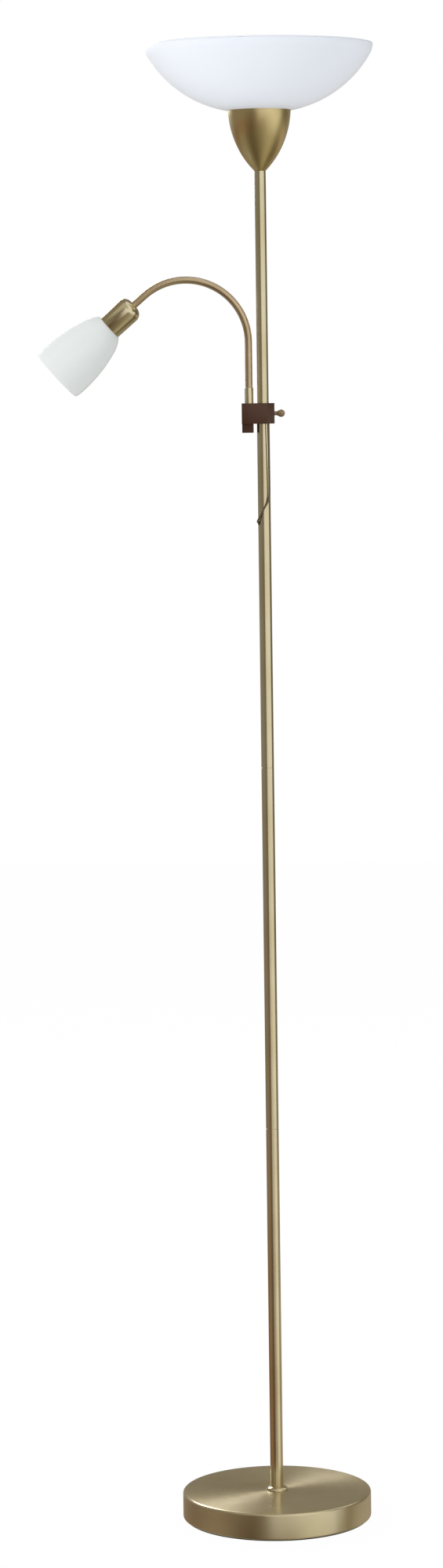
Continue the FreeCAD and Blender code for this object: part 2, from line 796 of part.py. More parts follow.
def contact(name, size):
    """a brass tongue: a foot on the insert and a raised tip under the bulb"""
    body = new_body(name)
    spin(
        body,
        [
            (0, 0),
            (f"{size}_cap * 0.5", 0),
            (f"{size}_cap * 0.5", "shell_wall"),
            (f"{size}_cap * 0.2", "contact_height"),
            (0, "contact_height"),
        ],
    )
    return node(body, name)


def bulb_cap(name, size):
    body = new_body(name)
    radius = f"{size}_cap"
    tip = f"{radius} * 0.12"
    shoulder = f"{radius} * 0.35"
    length = f"{size}_cap_length"
    spin(
        body,
        [
            (0, 0),
            (f"{radius} * 0.25", 0),
            (f"{radius} * 0.45", tip),
            (radius, shoulder),
            (radius, length),
            (f"{radius} - cap_wall", length),
            (f"{radius} - cap_wall", f"{shoulder} + cap_wall"),
            (f"{radius} * 0.45", f"{tip} + cap_wall"),
            (0, f"{tip} + cap_wall"),
        ],
    )
    return node(body, name)


def bulb_glass(name, size):
    """the hollow bulb past its cap: a short neck that flares into a ball, from the cap's tip"""
    body = new_body(name)
    ball = f"{size}_bulb"
    inner_ball = f"({ball} - bulb_wall)"
    neck = f"({size}_cap - bulb_neck_gap)"
    low = f"({size}_cap_length + seat_gap)"
    centre = f"({size}_bulb_length - {ball})"
    ball_foot = f"({centre} - {ball} * 0.8)"
    flare = f"{low} + ({ball_foot} - {low}) * 0.7"
    spin(
        body,
        [
            (neck, low),
            (f"{neck} + bulb_neck_flare", flare),
            (f"{ball} * 0.6", ball_foot, ball, 1),
            (0, f"{size}_bulb_length"),
            (0, f"{size}_bulb_length - bulb_wall", inner_ball, -1),
            (f"{inner_ball} * 0.6", f"{centre} - {inner_ball} * 0.8"),
            (f"{neck} + bulb_neck_flare - bulb_wall", flare),
            (f"{neck} - bulb_wall", low),
        ],
    )
    return node(body, name)


def upper_light():
    holder("uplight_holder", "large", HOLDER_RISE, True)
    insert("uplight_insert", "large")
    shell("uplight_shell", "large")
    contact("uplight_contact", "large")
    bulb_cap("uplight_bulb_cap", "large")
    bulb_glass("uplight_bulb_glass", "large")
    floor = f"({HOLDER_FOOT} + large_floor + seat_gap)"
    seat = f"({floor} + large_insert - shell_seat + seat_gap)"
    tip = f"({seat} + contact_height + seat_gap)"
    heights = (HOLDER_FOOT, floor, seat, seat, tip, tip)
    for feature, height in zip(nodes[-6:], heights):
        lift(feature, height)
    ring_inner = "large_skirt + fit"
    ring_bottom = f"{BOWL_BOTTOM} + bowl_wall + seat_gap"
    tube("uplight_ring", f"{ring_inner} + ring_width", ring_inner, ring_bottom, "ring_height")


# Clamp, sleeve and thumbscrew

SLEEVE_INNER = "(pole_radius + running_fit)"
SLEEVE_OUTER = "(pole_radius + running_fit + sleeve_wall)"
SCREW_HEIGHT = "(clamp_top - clamp_height / 2)"


def clamp_sleeve():
    """split sleeve that slides on the pole; the clamp turns on it and rests on its flange"""
    body = new_body("clamp_sleeve")
    spin(
        body,
        [
            (SLEEVE_INNER, 0),
            (f"{SLEEVE_OUTER} + sleeve_flange_width", 0),
            (f"{SLEEVE_OUTER} + sleeve_flange_width", "sleeve_flange"),
            (SLEEVE_OUTER, "sleeve_flange"),
            (SLEEVE_OUTER, "clamp_height - sleeve_drop"),
            (SLEEVE_INNER, "clamp_height - sleeve_drop"),
        ],
    )

    def slit(sketch):
        draw_outline(
            sketch,
            [
                ("-sleeve_slit / 2", 0),
                ("sleeve_slit / 2", 0),
                ("sleeve_slit / 2", "clamp_height"),
                ("-sleeve_slit / 2", "clamp_height"),
            ],
        )

    pocket(body, slit, "2 * pole_radius", plane="XZ_Plane", name="slit")
    lift(body, CLAMP_BOTTOM)
    return node(body, "clamp_sleeve")


def clamp_block():
    """the block and its leg, without the lead's channel"""
    body = new_body("clamp_block")

    def plan(sketch):
        deep = "clamp_half_depth"
        round_by = "clamp_corner"
        draw_outline(
            sketch,
            [
                (f"-clamp_left + {round_by}", f"-{deep}"),
                ("clamp_bevel_start", f"-{deep}"),
                ("clamp_right", f"-{deep} + clamp_bevel_depth"),
                ("clamp_right", f"{deep} - clamp_bevel_depth"),
                ("clamp_bevel_start", deep),
                (f"-clamp_left + {round_by}", deep, round_by, 1),
                ("-clamp_left", f"{deep} - {round_by}"),
                ("-clamp_left", f"-{deep} + {round_by}", round_by, 1),
            ],
        )

    pad(body, plan, "clamp_height")

    def leg_plan(sketch):
        draw_outline(
            sketch,
            [
                ("-clamp_left", "-leg_half_depth"),
                ("-clamp_left + leg_width", "-leg_half_depth"),
                ("-clamp_left + leg_width", "leg_half_depth"),
                ("-clamp_left", "leg_half_depth"),
            ],
        )

    leg = pad(body, leg_plan, "clamp_leg", name="leg")
    leg.Reversed = True
    doc.recompute()
    bore = f"{SLEEVE_OUTER} + running_fit"
    pocket(body, lambda s: draw_circle(s, 0, 0, bore), "clamp_height", name="bore", reverse=True)
    seat = f"{SLEEVE_OUTER} + sleeve_flange_width + running_fit"
    depth = "sleeve_flange + seat_gap"
    pocket(body, lambda s: draw_circle(s, 0, 0, seat), depth, name="seat", reverse=True)
    pocket(
        body,
        lambda s: draw_circle(s, "-arm_offset", 0, "ferrule_radius + fit"),
        "ferrule_depth + fit",
        name="socket",
        shift="clamp_height",
    )
    pocket(
        body,
        lambda s: draw_circle(s, 0, "clamp_height / 2", "screw_radius + running_fit"),
        "2 * clamp_right",
        plane="YZ_Plane",
        name="screw_hole",
        reverse=True,
    )
    lift(body, CLAMP_BOTTOM)
    return body


def clamp_body():
    """the finished clamp: the block less the lead's channel"""
    block = clamp_block()
    channel = doc.addObject("Part::Feature", "clamp_channel")
    reach = FreeCAD.Vector(0, 0, value("cord_radius"))
    points = clamp_lead_points()
    points[0] = points[0] + reach
    points[-1] = points[-1] - reach
    channel.Shape = rounded_tube(points, value("cord_radius + cord_gap"))
    cut = doc.addObject("Part::Cut", "clamp_cut")
    cut.Base = block
    cut.Tool = channel
    return node(cut, "clamp_body")


def screw_pad():
    """presses on the sleeve when the thumbscrew is tight"""
    body = new_body("screw_pad")
    spin(
        body,
        [
            (0, 0),
            ("screw_radius", 0),
            ("screw_radius", "screw_pad"),
            (0, "screw_pad"),
        ],
    )
    turn = FreeCAD.Rotation(FreeCAD.Vector(0, 1, 0), 90)
    seat = value(f"{SLEEVE_OUTER} + 2 * running_fit")
    body.Placement = FreeCAD.Placement(FreeCAD.Vector(seat, 0, value(SCREW_HEIGHT)), turn)
    return node(body, "screw_pad")


def thumbscrew():
    """shank and flat teardrop grip, from the pad outwards"""
    body = new_body("thumbscrew")
    start = f"({SLEEVE_OUTER} + 2 * running_fit + screw_pad + seat_gap)"
    shank = f"(clamp_right + screw_neck - {start})"
    spin(
        body,
        [
            (0, 0),
            ("screw_radius", 0),
            ("screw_radius", shank),
            (0, shank),
        ],
    )

    def grip(sketch):
        root = f"{shank} - paddle_overlap"
        wide = f"{shank} + paddle_length - paddle_half_height"
        nearly_half_round = "paddle_half_height + 0.02"
        draw_outline(
            sketch,
            [
                ("-paddle_root", root),
                ("paddle_root", root),
                ("paddle_half_height", wide, nearly_half_round, 1),
                ("-paddle_half_height", wide),
            ],
        )

    pad(body, grip, "paddle_thickness", plane="XZ_Plane", name="grip", symmetric=True)
    turn = FreeCAD.Rotation(FreeCAD.Vector(0, 1, 0), 90)
    body.Placement = FreeCAD.Placement(FreeCAD.Vector(value(start), 0, value(SCREW_HEIGHT)), turn)
    return node(body, "thumbscrew")


# Leads: straight runs joined by tangent arcs


def rounded_path(points, label=None):
    """a wire through the points, each corner an arc as large as its two runs allow"""
    edges = []
    here = points[0]
    radii = []
    for before, corner, after in zip(points, points[1:], points[2:]):
        come = (corner - before).normalize()
        go = (after - corner).normalize()
        half_turn = come.getAngle(go) / 2
        if half_turn < 1e-6:
            continue
        setback = 0.45 * min(corner.distanceToPoint(before), corner.distanceToPoint(after))
        radius = setback / math.tan(half_turn)
        start = corner - come * setback
        finish = corner + go * setback
        inward = (go - come).normalize()
        middle = corner + inward * radius * (1 / math.cos(half_turn) - 1)
        edges.append(Part.LineSegment(here, start).toShape())
        edges.append(Part.Arc(start, middle, finish).toShape())
        here = finish
        radii.append(round(radius, 1))
    edges.append(Part.LineSegment(here, points[-1]).toShape())
    if label:
        print(label, "radii", radii)
    return Part.Wire(edges)


def rounded_tube(points, radius, label=None):
    """a solid tube along rounded_path, its volume compared with section times length"""
    path = rounded_path(points, label)
    edge = path.Edges[0]
    start = edge.valueAt(edge.FirstParameter)
    along = edge.tangentAt(edge.FirstParameter)
    ring = Part.Wire(Part.Circle(start, along, radius).toShape())
    solid = path.makePipeShell([ring], True, False)
    if label:
        expected = math.pi * radius**2 * path.Length
        print(label, "length", round(path.Length, 1), "volume ratio", round(solid.Volume / expected, 4))
    return solid


def vector(x, y, z):
    return FreeCAD.Vector(value(x), value(y), value(z))


def clamp_lead_points():
    """the lead inside the clamp: down below the ferrule, forward, past the pole and out underneath"""
    level = f"{CLAMP_BOTTOM} + cord_channel_rise"
    foot = "clamp_top - ferrule_depth"
    return [
        vector("-arm_offset", 0, f"{foot} + 4"),
        vector("-arm_offset", 0, level),
        vector("-arm_offset", "-cord_channel_y", level),
        vector("cord_exit_x - 9", "-cord_channel_y", level),
        vector("cord_exit_x", "-cord_exit_y", level),
        vector("cord_exit_x", "-cord_exit_y", CLAMP_BOTTOM),
    ]


def round_pole(angle, height, reach=9.7):
    """a point beside the pole, at an angle from the front towards the right, in degrees"""
    turn = math.radians(angle)
    return FreeCAD.Vector(reach * math.sin(turn), -reach * math.cos(turn), height)


def reading_cord():
    """the lead's open stretch: down the pole's front, round to its left side and in by the hole"""
    exit_point = vector("cord_exit_x", "-cord_exit_y", f"{CLAMP_BOTTOM} - seat_gap")
    into = gland_direction()
    level = value(GLAND_HEIGHT)
    rise = FreeCAD.Vector(0, 0, level)
    before_hole = into * value("pole_radius + cord_turn_in") + rise
    hole = into * value("pole_radius - pole_wall - cord_end") + rise
    points = [
        exit_point,
        FreeCAD.Vector(6.2, -9.7, value(CLAMP_BOTTOM) - 26.3),
        FreeCAD.Vector(6.0, -8.8, value(CLAMP_BOTTOM) - 54.3),
        FreeCAD.Vector(5.9, -8.3, level + 45.5),
        round_pole(33, level + 32.5),
        round_pole(14, level + 24.5),
        round_pole(-8, level + 17.6),
        round_pole(-29, level + 11.2),
        round_pole(-45, level + 5.5, 10.0),
        before_hole,
        hole,
    ]
    cord = doc.addObject("Part::Feature", "reading_cord_tube")
    cord.Shape = rounded_tube(points, value("cord_radius"), "reading_cord")
    return node(cord, "reading_cord")


def pole_grommet():
    """lines the lead's hole in the pole"""
    body = new_body("pole_grommet")
    low = "pole_radius - pole_wall - gland_inside"
    seat = "pole_radius + seat_gap"
    bore = "cord_radius + gland_bore_gap"
    spin(
        body,
        [
            (bore, low),
            ("gland_body", low),
            ("gland_body", seat),
            ("gland_head", seat),
            ("gland_head - gland_slope", f"{seat} + gland_head_height"),
            (bore, f"{seat} + gland_head_height"),
        ],
    )
    facing = FreeCAD.Rotation(FreeCAD.Vector(0, 0, 1), gland_direction())
    body.Placement = FreeCAD.Placement(FreeCAD.Vector(0, 0, value(GLAND_HEIGHT)), facing)
    return node(body, "pole_grommet")


def pole_lead_points():
    """the lamp's own lead: in from the mains inlet, up the pole and to the upper lampholder"""
    back = value("base_radius - base_wall - inlet_length - seat_gap")
    height = value("inlet_height")
    low = value("tray_floor + lead_radius + 0.3")
    top = value(f"{HOLDER_FOOT} + large_floor")
    points = [
        FreeCAD.Vector(0, back, height),
        FreeCAD.Vector(0, back - 22, height),
        FreeCAD.Vector(0, back - 52, low),
        FreeCAD.Vector(0, 15.5, low),
        FreeCAD.Vector(0, 0, low),
        FreeCAD.Vector(0, 0, top),
    ]
    return points


# Flexible arm

UP = FreeCAD.Vector(0, 0, 1)
ACROSS = FreeCAD.Vector(0, 1, 0)
OVERLAP = 1.0  # how far one solid of a link runs into the next before they are joined
RIB_RISEN, RIB_FALLING, RIB_FALLEN = 0.2, 0.75, 0.95  # where a rib's corners lie, as shares of a turn


def arm_foot():
    return value("clamp_top + ferrule_height")


def arm_length():
    """along the arm's middle line, from the ferrule's top to the back of the head"""
    straight = value("arm_upright")
    return straight + value("arm_bend_radius") * math.radians(value("arm_turn")) + value("arm_tail")


def arm_point(along):
    """the point and the direction of the arm's middle line, so far along from the ferrule's top"""
    x = -value("arm_offset")
    straight = value("arm_upright")
    radius = value("arm_bend_radius")
    turn = math.radians(value("arm_turn"))
    if along <= straight:
        return FreeCAD.Vector(x, 0, arm_foot() + along), UP
    angle = min((along - straight) / radius, turn)
    centre = FreeCAD.Vector(x - radius, 0, arm_foot() + straight)
    point = centre + FreeCAD.Vector(radius * math.cos(angle), 0, radius * math.sin(angle))
    direction = FreeCAD.Vector(-math.sin(angle), 0, math.cos(angle))
    tail = along - straight - radius * turn
    if tail > 0:
        point = point + direction * tail
    return point, direction


def arm_hinges():
    """how far along each bending point lies"""
    count = int(value("arm_links")) - 1
    first = value("arm_end_link")
    step = (arm_length() - 2 * first) / (count - 1)
    return [first + step * i for i in range(count)]


def section(along, radius):
    """a circle across the arm"""
    point, direction = arm_point(along)
    circle = Part.Circle(point, direction, radius)
    circle.XAxis = ACROSS
    return Part.Wire(circle.toShape())


def ribbed(start, finish):
    """the wound outside between two places along the arm, four circles a turn"""
    crest = value("arm_radius")
    root = crest - value("rib_depth")
    count = max(1, round((finish - start) / value("rib_pitch")))
    pitch = (finish - start) / count
    rings = []
    for turn in range(count):
        low = start + pitch * turn
        rings.append(section(low, root))
        rings.append(section(low + RIB_RISEN * pitch, crest))
        rings.append(section(low + RIB_FALLING * pitch, crest))
        rings.append(section(low + RIB_FALLEN * pitch, root))
    rings.append(section(finish, root))
    return Part.makeLoft(rings, True, True)


def bore_tool(start, finish, radius):
    """a round bar along the arm's middle line"""
    stations = [start, finish]
    straight = value("arm_upright")
    curve_end = straight + value("arm_bend_radius") * math.radians(value("arm_turn"))
    stations += [s for s in (straight, curve_end) if start + 0.01 < s < finish - 0.01]
    stations.sort()
    edges = []
    for low, high in zip(stations, stations[1:]):
        a, b, c = (arm_point(s)[0] for s in (low, (low + high) / 2, high))
        bent = (b - (a + c) / 2).Length > 1e-4
        edges.append((Part.Arc(a, b, c) if bent else Part.LineSegment(a, c)).toShape())
    return Part.Wire(edges).makePipeShell([section(start, radius)], True, False)


def arm_link(number, start, finish, ball_at, socket_at):
    """one length of the arm; ball_at and socket_at are its bending points, or None at an end"""
    low, high = start, finish
    if socket_at is not None:
        low = socket_at + value("link_rim")
    if ball_at is not None:
        high = ball_at - value("link_shoulder")
    body = ribbed(low, high)
    if ball_at is not None:
        neck = value("ball_neck")
        body = body.fuse(bore_tool(high - OVERLAP, ball_at, neck))
        body = body.fuse(Part.makeSphere(value("ball_radius"), arm_point(ball_at)[0]))
    if socket_at is not None:
        clear = value("ball_radius + ball_gap")
        body = body.cut(Part.makeSphere(clear, arm_point(socket_at)[0]))
    reach = value("ball_radius") + OVERLAP
    bore_start = max(0.0, low - reach) if number > 1 else start
    bore_end = min(arm_length(), high + 2 * reach)
    body = body.cut(bore_tool(bore_start, bore_end, value("arm_bore")))
    link = doc.addObject("Part::Feature", f"arm_link_{number}_shape")
    link.Shape = body.Solids[0] if len(body.Solids) == 1 else body
    return node(link, f"arm_link_{number}")


def arm():
    hinges = arm_hinges()
    sunk = -value("ferrule_socket")
    starts = [sunk] + hinges
    finishes = hinges + [arm_length()]
    for i, (start, finish) in enumerate(zip(starts, finishes)):
        ball_at = finish if i < len(hinges) else None
        socket_at = start if i > 0 else None
        arm_link(i + 1, start, finish, ball_at, socket_at)


def ferrule():
    """holds the foot of the arm in the clamp"""
    body = new_body("arm_ferrule")
    inner = "arm_radius + fit"
    total = "ferrule_depth + ferrule_height"
    ledge = f"{total} - ferrule_socket - seat_gap"
    spin(
        body,
        [
            ("arm_bore", 0),
            ("ferrule_radius", 0),
            ("ferrule_radius", f"{total} - ferrule_round"),
            ("ferrule_radius - ferrule_slope", total),
            (inner, total),
            (inner, ledge),
            ("arm_bore", ledge),
        ],
    )
    body.setExpression("Placement.Base.x", linked("-arm_offset"))
    lift(body, "clamp_top - ferrule_depth")
    return node(body, "arm_ferrule")


# Reading head


def head_placement(along_axis=0.0):
    """a frame at the back of the head's cup, its Z along the head towards the shade's mouth"""
    back, direction = arm_point(arm_length())
    turn = FreeCAD.Rotation(ACROSS, -value("arm_turn"))
    return FreeCAD.Placement(back + direction * along_axis, turn)


def on_head(feature, along_axis="0"):
    feature.Placement = head_placement(value(along_axis))


def head_cup():
    body = new_body("head_cup")
    shape = spin(
        body,
        [
            (0, 0),
            ("head_radius - head_round", 0, "head_round", 1),
            ("head_radius", "head_round"),
            ("head_radius", "head_length"),
            (0, "head_length"),
        ],
    )
    hollow(body, shape, "head_length", "head_wall")
    pocket(
        body,
        lambda s: draw_circle(s, 0, 0, "head_thread + fit"),
        "head_round",
        name="arm_hole",
        reverse=True,
    )
    on_head(body)
    return node(body, "head_cup")


def head_fixings():
    body = new_body("head_nipple")
    spigot = "arm_bore - fit"
    bore = "cord_radius + 2 * fit"
    top = "small_gap_behind + small_floor - nipple_short"
    spin(
        body,
        [
            (bore, "-head_spigot"),
            (spigot, "-head_spigot"),
            (spigot, "seat_gap"),
            ("head_thread", "seat_gap"),
            ("head_thread", top),
            (bore, top),
        ],
    )
    on_head(body)
    node(body, "head_nipple")
    nut = hex_nut("head_nut", "head_nut_flats", "head_nut_height", "head_thread + fit")
    on_head(nut, "head_wall + seat_gap")


def reading_shade():
    body = new_body("reading_shade")
    outline = [
        ("shade_neck_radius", "0", "shade_shoulder_arc"),
        ("shade_shoulder_radius", "shade_shoulder_length", "shade_belly_arc"),
        ("shade_belly_radius", "shade_belly_length", "shade_mouth_arc"),
        ("shade_mouth_radius", "shade_length", None),
    ]
    spin(body, glass_walls(outline, "shade_wall", "small_skirt + small_glass_gap"))
    rounded_rim(body, "shade_length")
    on_head(body, "head_length + seat_gap")
    return node(body, "reading_shade")


def reading_ring():
    """cone-sided ring that holds the shade's neck against the cup"""
    body = new_body("reading_ring")
    inner = "small_skirt + fit"
    spin(
        body,
        [
            (inner, 0),
            (f"{inner} + small_ring_foot", 0),
            (f"{inner} + small_ring_width", "small_ring_height"),
            (inner, "small_ring_height"),
        ],
    )
    on_head(body, "head_length + shade_wall + 2 * seat_gap")
    return node(body, "reading_ring")


def reading_light():
    rise = "(head_length - small_gap_behind)"
    holder("reading_holder", "small", rise, False)
    insert("reading_insert", "small")
    shell("reading_shell", "small")
    contact("reading_contact", "small")
    bulb_cap("reading_bulb_cap", "small")
    bulb_glass("reading_bulb_glass", "small")
    foot = "small_gap_behind"
    floor = f"({foot} + small_floor + seat_gap)"
    seat = f"({floor} + small_insert - shell_seat + seat_gap)"
    tip = f"({seat} + contact_height + seat_gap)"
    for feature, height in zip(nodes[-6:], (foot, floor, seat, seat, tip, tip)):
        on_head(feature, height)


def arm_lead_points():
    """the reading light's lead, from the clamp's underside up the arm to its lampholder"""
    below_ferrule = 8.0
    upright = 40.0
    into_head = 9.0
    steps = 20
    length = arm_length()
    climb = [arm_point(s)[0] for s in (-below_ferrule, upright)]
    spacing = (length - upright) / steps
    curve = [arm_point(upright + spacing * i)[0] for i in range(1, steps)]
    end = arm_point(length + into_head)[0]
    return list(reversed(clamp_lead_points())) + climb + curve + [end]


def leads():
    pole_run = doc.addObject("Part::Feature", "pole_lead_tube")
    pole_run.Shape = rounded_tube(pole_lead_points(), value("lead_radius"), "pole_lead")
    node(pole_run, "pole_lead")
    arm_run = doc.addObject("Part::Feature", "arm_lead_tube")
    arm_run.Shape = rounded_tube(arm_lead_points(), value("cord_radius"), "arm_lead")
    node(arm_run, "arm_lead")


def build():
    base_cover()
    base_weight()
    base_tray()
    base_fixings()
    mains_inlet()
    foot_collar()
    pole()
    pole_step()
    stem()
    cup()
    cup_fixings()
    bowl()
    upper_light()
    clamp_sleeve()
    clamp_body()
    screw_pad()
    thumbscrew()
    ferrule()
    arm()
    head_cup()
    head_fixings()
    reading_shade()
    reading_ring()
    reading_light()
    pole_grommet()
    reading_cord()
    leads()


def check_and_write():
    """stops if anything failed, then writes each sub-part"""
    doc.recompute()
    for feature in doc.Objects:
        if any(word in feature.State for word in ("Invalid", "Error")):
            raise ValueError(f"{feature.Name} failed")
    for feature in nodes:
        shape = feature.Shape
        if shape.isNull() or not shape.isValid() or not shape.Solids:
            raise ValueError(f"{feature.Label} has no valid solid")
        if len(shape.Solids) != 1:
            print(feature.Label, "has", len(shape.Solids), "solids")
        shape.exportStep(f"parts/{feature.Label}.step")
    print(len(nodes), "sub-parts written")


build()
check_and_write()
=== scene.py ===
import math

import bpy
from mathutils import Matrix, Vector


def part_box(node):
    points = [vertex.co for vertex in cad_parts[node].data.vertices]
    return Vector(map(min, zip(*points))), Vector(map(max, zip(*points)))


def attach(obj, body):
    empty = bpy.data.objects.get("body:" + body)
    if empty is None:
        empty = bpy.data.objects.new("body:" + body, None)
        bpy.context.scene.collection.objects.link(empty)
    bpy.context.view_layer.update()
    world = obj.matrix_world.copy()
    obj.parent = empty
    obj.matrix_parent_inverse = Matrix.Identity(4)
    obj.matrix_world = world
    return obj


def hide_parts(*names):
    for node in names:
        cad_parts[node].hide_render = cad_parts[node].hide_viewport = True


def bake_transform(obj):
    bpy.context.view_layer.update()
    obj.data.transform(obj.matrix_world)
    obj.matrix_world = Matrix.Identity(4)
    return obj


# Torchiere floor lamp with a reading light. Metres throughout, in the frame of the construction model:
# the foot stands on the floor round the origin, the pole goes up Z, the arm reaches to -X, the front is -Y.

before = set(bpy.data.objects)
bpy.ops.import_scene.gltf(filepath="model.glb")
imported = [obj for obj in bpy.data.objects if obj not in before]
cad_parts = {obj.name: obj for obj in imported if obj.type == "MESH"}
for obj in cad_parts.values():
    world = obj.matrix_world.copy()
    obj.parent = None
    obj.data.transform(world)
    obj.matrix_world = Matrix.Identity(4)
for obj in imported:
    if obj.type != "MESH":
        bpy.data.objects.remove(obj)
bpy.context.view_layer.update()
bpy.ops.object.select_all(action="DESELECT")


# Camera: a long lens a little to the right of the lamp's front, at the height of a standing person's chest.
# It looks level, so the pole keeps one width from top to bottom, and is lowered by its shift.

CAMERA_LENS = 96.9
CAMERA_SENSOR = 36
CAMERA_DISTANCE = 5.17
CAMERA_HEIGHT = 1.39
CAMERA_TURN = math.radians(3.5)
CAMERA_ROLL = 0.0129
CAMERA_ASIDE = -0.0505
CAMERA_SHIFT = -0.2564

bpy.ops.object.camera_add()
camera = bpy.context.object
camera.name = "camera"
camera.data.lens = CAMERA_LENS
camera.data.sensor_width = CAMERA_SENSOR
camera.data.shift_y = CAMERA_SHIFT
camera.location = (
    CAMERA_DISTANCE * math.sin(CAMERA_TURN) + CAMERA_ASIDE * math.cos(CAMERA_TURN),
    -CAMERA_DISTANCE * math.cos(CAMERA_TURN) + CAMERA_ASIDE * math.sin(CAMERA_TURN),
    CAMERA_HEIGHT,
)
camera.rotation_euler = (math.radians(90), CAMERA_ROLL, CAMERA_TURN)
bpy.context.scene.camera = camera
bpy.context.scene.view_settings.view_transform = "Standard"


# Reading light's lead: thin round flex in brown-gold plastic. It leaves the clamp underneath, hangs down at
# the pole's right edge, slants over the pole's front and goes in through a hole on the left with a grommet.

LEAD_DIAMETER = 0.0024
LEAD_ROUTE = [
    (0.0063, -0.0108, 1.33825),
    (0.0068, -0.0095, 1.3120),
    (0.0070, -0.0080, 1.2840),
    (0.0070, -0.0074, 1.2620),
    (0.0069, -0.0073, 1.2510),
    (0.0052, -0.0085, 1.2432),
    (0.0010, -0.0098, 1.2363),
    (-0.0030, -0.0093, 1.2290),
    (-0.0064, -0.0078, 1.2222),
    (-0.0092, -0.0060, 1.2168),
    (-0.0035, -0.0023, 1.2165),
]


def flex_line(name, route):
    """a smooth curve with the route's points as its control points"""
    line = bpy.data.curves.new(name, "CURVE")
    line.dimensions = "3D"
    spline = line.splines.new("NURBS")
    spline.points.add(len(route) - 1)
    for point, place in zip(spline.points, route):
        point.co = (*place, 1)
    spline.order_u = 3
    spline.use_endpoint_u = True
    line.resolution_u = 8
    flex = bpy.data.objects.new(name, line)
    bpy.context.collection.objects.link(flex)
    return flex


def along_line(flex):
    """points on the smooth curve, in order"""
    bare = bpy.data.meshes.new_from_object(flex)
    places = [vertex.co.copy() for vertex in bare.vertices]
    bpy.data.meshes.remove(bare)
    return places


def select_only(piece):
    """makes a piece the only selected one and the active one"""
    bpy.ops.object.select_all(action="DESELECT")
    piece.select_set(True)
    bpy.context.view_layer.objects.active = piece


lead = flex_line("reading_lead", LEAD_ROUTE)
lead_path = along_line(lead)
lead.data.bevel_depth = LEAD_DIAMETER / 2
lead.data.bevel_resolution = 5
lead.data.use_fill_caps = True
select_only(lead)
bpy.ops.object.convert(target="MESH")
lead = bpy.context.object
bpy.ops.object.shade_smooth()


def wire(tree, node, given):
    """gives a node's inputs their values, or links them where they are given another node's output"""
    for socket, value in given.items():
        if isinstance(value, bpy.types.NodeSocket):
            tree.links.new(value, node.inputs[socket])
        else:
            node.inputs[socket].default_value = value


def add_node(tree, kind, given=None, **choices):
    """adds a shader node, makes its choices and wires what it is given"""
    node = tree.nodes.new("ShaderNode" + kind)
    for choice, value in choices.items():
        setattr(node, choice, value)
    wire(tree, node, given or {})
    return node


def new_material(name):
    """a new material, its node tree, its shader, and the place on the piece that its patterns follow"""
    material = bpy.data.materials.new(name)
    material.use_nodes = True
    tree = material.node_tree
    place = add_node(tree, "TexCoord").outputs["Object"]
    return material, tree, tree.nodes["Principled BSDF"], place


def add_relief(tree, shader, height, strength, depth):
    """fine relief in a surface, so deep, that follows a pattern's height"""
    bump = add_node(tree, "Bump", {"Strength": strength, "Distance": depth, "Height": height})
    wire(tree, shader, {"Normal": bump.outputs["Normal"]})


def mottled(
    name, scale, tones, roughness, stops=(0, 1), detail=2.0, relief=0.0, depth=0.0001, finish=None
):
    """A material whose colour and dullness follow a fine noise between two tones and two roughnesses,
    with a relief of the same noise where it has one. finish is what the shader's other inputs get."""
    material, tree, shader, place = new_material(name)
    noise = add_node(tree, "TexNoise", {"Scale": scale, "Detail": detail, "Vector": place}).outputs["Fac"]
    tone = add_node(tree, "ValToRGB", {"Fac": noise})
    for stop, position, colour in zip(tone.color_ramp.elements, stops, tones):
        stop.position = position
        stop.color = (*colour, 1)
    dull = add_node(tree, "MapRange", {"Value": noise, "To Min": roughness[0], "To Max": roughness[1]})
    wire(tree, shader, {"Base Color": tone.outputs["Color"], "Roughness": dull.outputs["Result"]})
    wire(tree, shader, finish or {})
    if relief:
        add_relief(tree, shader, noise, relief, depth)
    return material


lead_plastic = mottled(
    "lead_plastic",
    scale=900,
    tones=[(0.070, 0.048, 0.019), (0.110, 0.078, 0.030)],
    roughness=(0.28, 0.42),
    finish={"Coat Weight": 0.4, "Coat Roughness": 0.2},
)
lead.data.materials.append(lead_plastic)

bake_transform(lead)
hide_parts("reading_cord")
bpy.ops.object.select_all(action="DESELECT")


# Studio: a white floor and background. The metal sees a broad soft light at the front right, a dimmer room
# elsewhere and a dark brown stretch beyond the light, which is what bends its colour from cream to brown.
# A room list holds bearings and the colours seen there; a band has the heights where it begins and is full.

